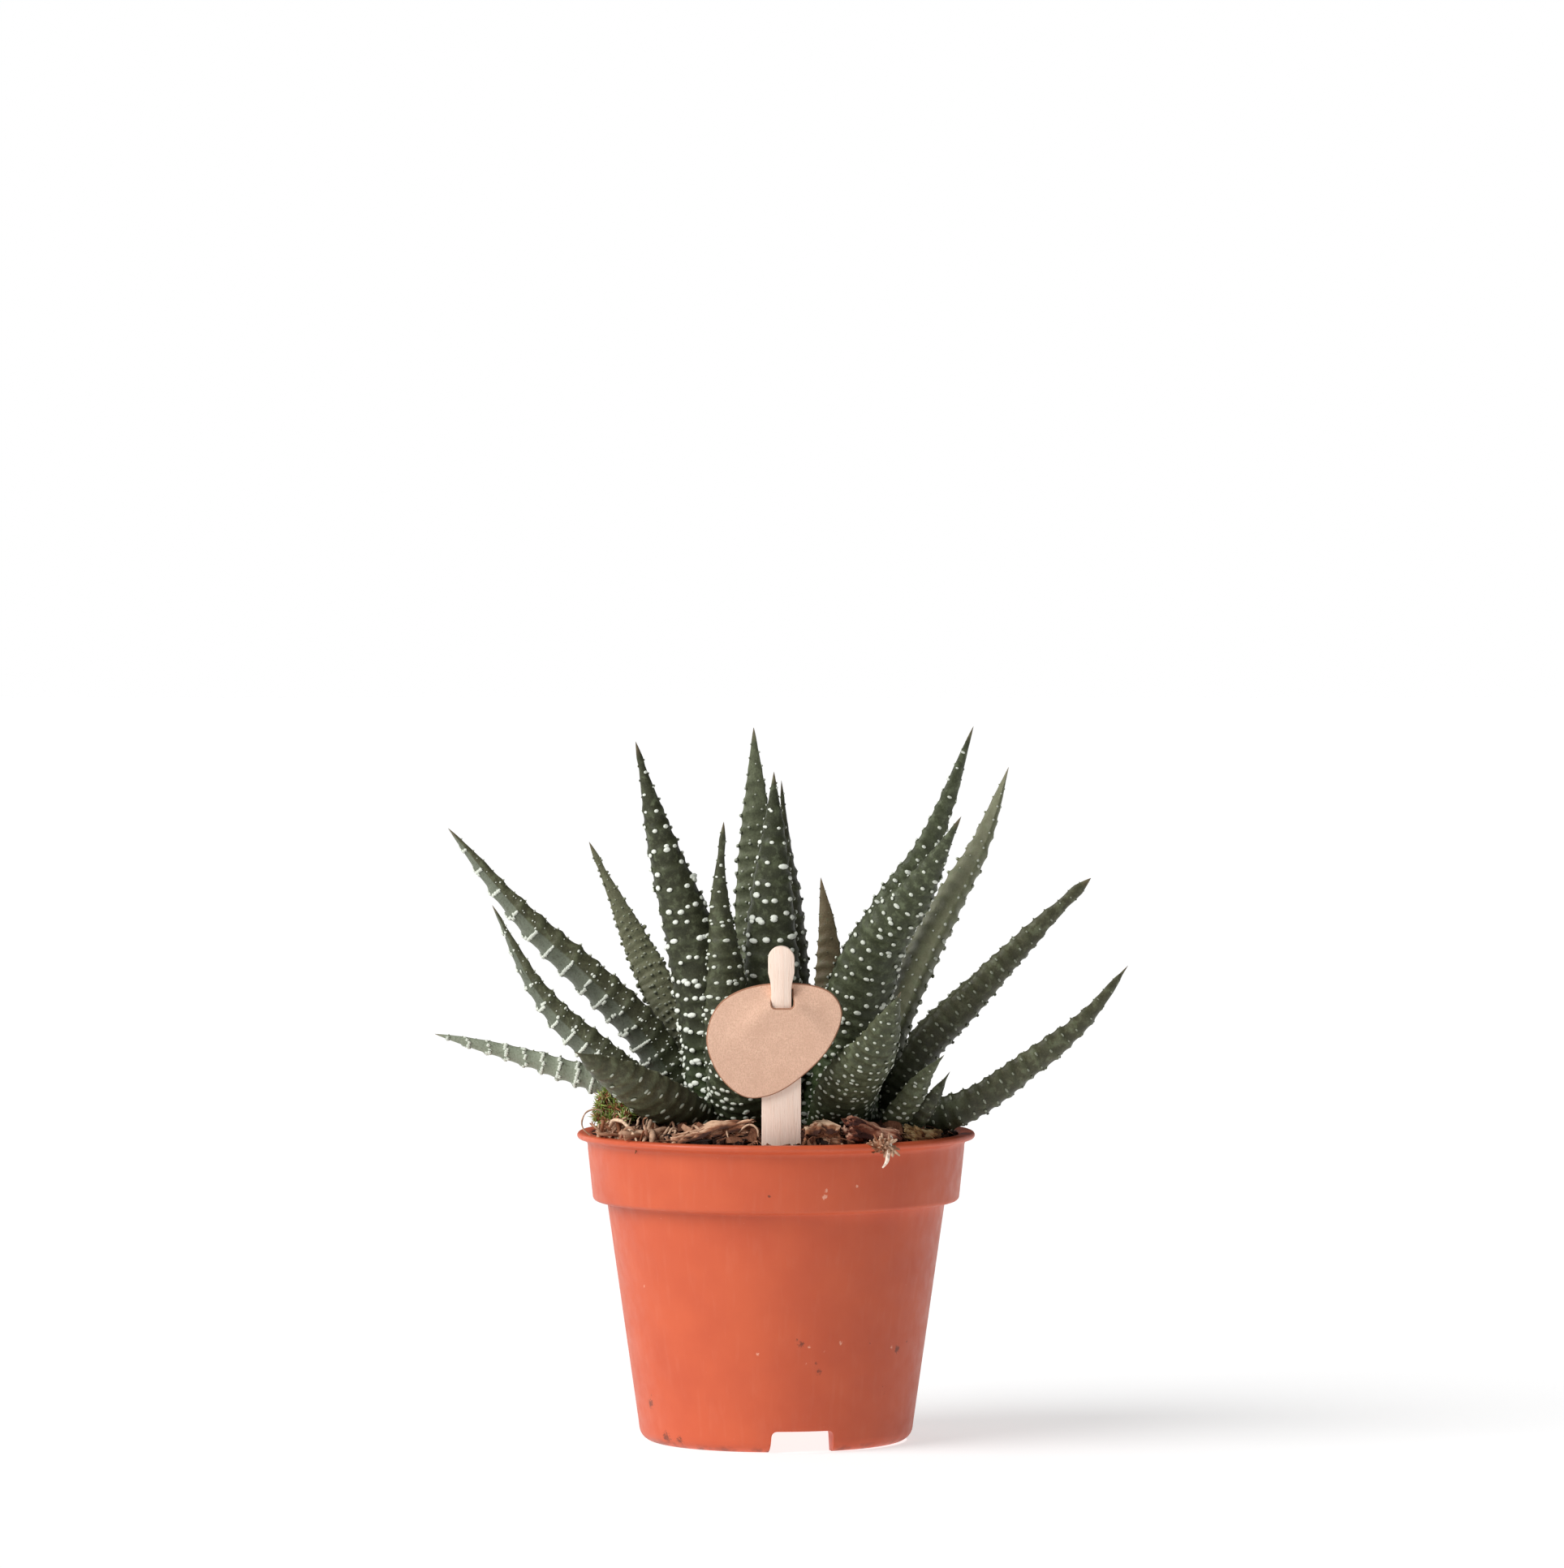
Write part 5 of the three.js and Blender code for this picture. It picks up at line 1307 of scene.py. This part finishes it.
def makeRoots():
    corners, faces, pales, sides = [], [], [], 8
    everyRoot = roots + strayRoots() + tangledRoots()
    for root in everyRoot:
        line = leafLine(root["path"], 0.35)[1:]
        first = len(corners)
        for place, point in enumerate(line):
            way = (line[min(place + 1, len(line) - 1)] - line[max(place - 1, 0)]).normalized()
            across = way.orthogonal() if place == 0 else across - way * across.dot(way)
            across.normalize()
            other = way.cross(across)
            share = place / (len(line) - 1)
            taper = math.sin(halfTurn * min(0.5, 3 * min(share, 1 - share) + 0.05))
            thick = root["radius"] * (0.35 + 0.65 * taper)
            thick *= 1 + 0.3 * wobble.noise(point * 1.3)
            for side in range(sides):
                angle = fullTurn * side / sides
                corners.append((point + (across * math.cos(angle) + other * math.sin(angle)) * thick) * mm)
                pales.append(root["pale"])
        for ring in range(len(line) - 1):
            for side in range(sides):
                a, b = first + ring * sides + side, first + ring * sides + (side + 1) % sides
                faces.append((a, b, b + sides, a + sides))
        faces.append(tuple(reversed(range(first, first + sides))))
        faces.append(tuple(range(len(corners) - sides, len(corners))))
    piece = newPiece("dry_roots", corners, faces)
    smooth(piece, 60)
    piece.data.attributes.new("pale", "FLOAT", "POINT").data.foreach_set("value", pales)
    dress(piece, rootBark())
    settle(piece, "soil_mix")
    print("roots:", len(everyRoot), "in", len(faces), "faces")


stage = {
    "eye": (0.9, -1390, 151), "aim": (0.9, 0, 99), "lens": 212, "sensor": 36,
    "floorHalf": 4000, "floorColour": srgb(190, 190, 190), "skySeen": 1.0, "skyLight": 0.12,
    # the floor's own light: under the foot, beside it, and further out from the first radius to the second
    "glowUnder": 0.85, "glowNear": 0.62, "glowFar": 0.64, "glowFrom": 24, "glowFull": 120,
    "glowInset": 0.9, "lit": (0, 0, 55),
    "sun": {"from": (-0.69, -0.43, 0.62), "strength": 3.2, "spread": 46},
    "lights": {
        "back_right": {"at": (620, 700, 260), "size": 500, "power": 0.55},
        "back_left": {"at": (-700, 800, 300), "size": 500, "power": 1.2},
    },
}


def aimed(name, data, at, target):
    thing = placed(name, data)
    thing.location = Vector(at) * mm
    thing.rotation_euler = (Vector(target) - Vector(at)).to_track_quat("-Z", "Y").to_euler()
    return thing


def paleFloor():
    paint = Finish("pale_floor", 0.9, 0.1)
    paint.colour = stage["floorColour"]
    x, y = parts(paint.place)[:2]
    away = (x * x + y * y) ** 0.5
    glow = ease(away, stage["glowFrom"] * mm, stage["glowFull"] * mm, stage["glowNear"], stage["glowFar"])
    under = away < (pot["footRadius"] - stage["glowInset"]) * mm
    plug(glow + under * (stage["glowUnder"] - stage["glowNear"]), paint.shader.inputs["Emission Strength"])
    paint.shader.inputs["Emission Color"].default_value = (1, 1, 1, 1)
    return paint.wear()


def makeStage():
    lens = bpy.data.cameras.new("camera")
    lens.lens = stage["lens"]
    lens.sensor_width = stage["sensor"]
    lens.clip_end = 100
    bpy.context.scene.camera = aimed("camera", lens, stage["eye"], stage["aim"])
    for name, lamp in stage["lights"].items():
        light = bpy.data.lights.new(name, "AREA")
        light.size = lamp["size"] * mm
        light.energy = lamp["power"]
        aimed(name, light, lamp["at"], stage["lit"])
    sun = bpy.data.lights.new("key", "SUN")
    sun.energy = stage["sun"]["strength"]
    sun.angle = math.radians(stage["sun"]["spread"])
    aimed("key", sun, stage["sun"]["from"], (0, 0, 0))
    reach = stage["floorHalf"] * mm
    floor = newPiece("floor", [(x * reach, y * reach, 0) for x, y in ((-1, -1), (1, -1), (1, 1), (-1, 1))],
                     [(0, 1, 2, 3)])
    dress(floor, paleFloor())
    world = bpy.data.worlds.new("studio")
    world.use_nodes = True
    sky = world.node_tree.nodes["Background"].inputs
    seen = Term(addNode(world.node_tree, "ShaderNodeLightPath").outputs["Is Camera Ray"])
    plug(stage["skyLight"] + seen * (stage["skySeen"] - stage["skyLight"]), sky["Strength"])
    sky["Color"].default_value = (1, 1, 1, 1)
    bpy.context.scene.world = world
    bpy.context.scene.view_settings.view_transform = "Standard"


makeStage()
makePot()
makeLeaves()
makeStems()
makeLabel()
makeSoil()
makeChips()
makeMoss()
makeRoots()
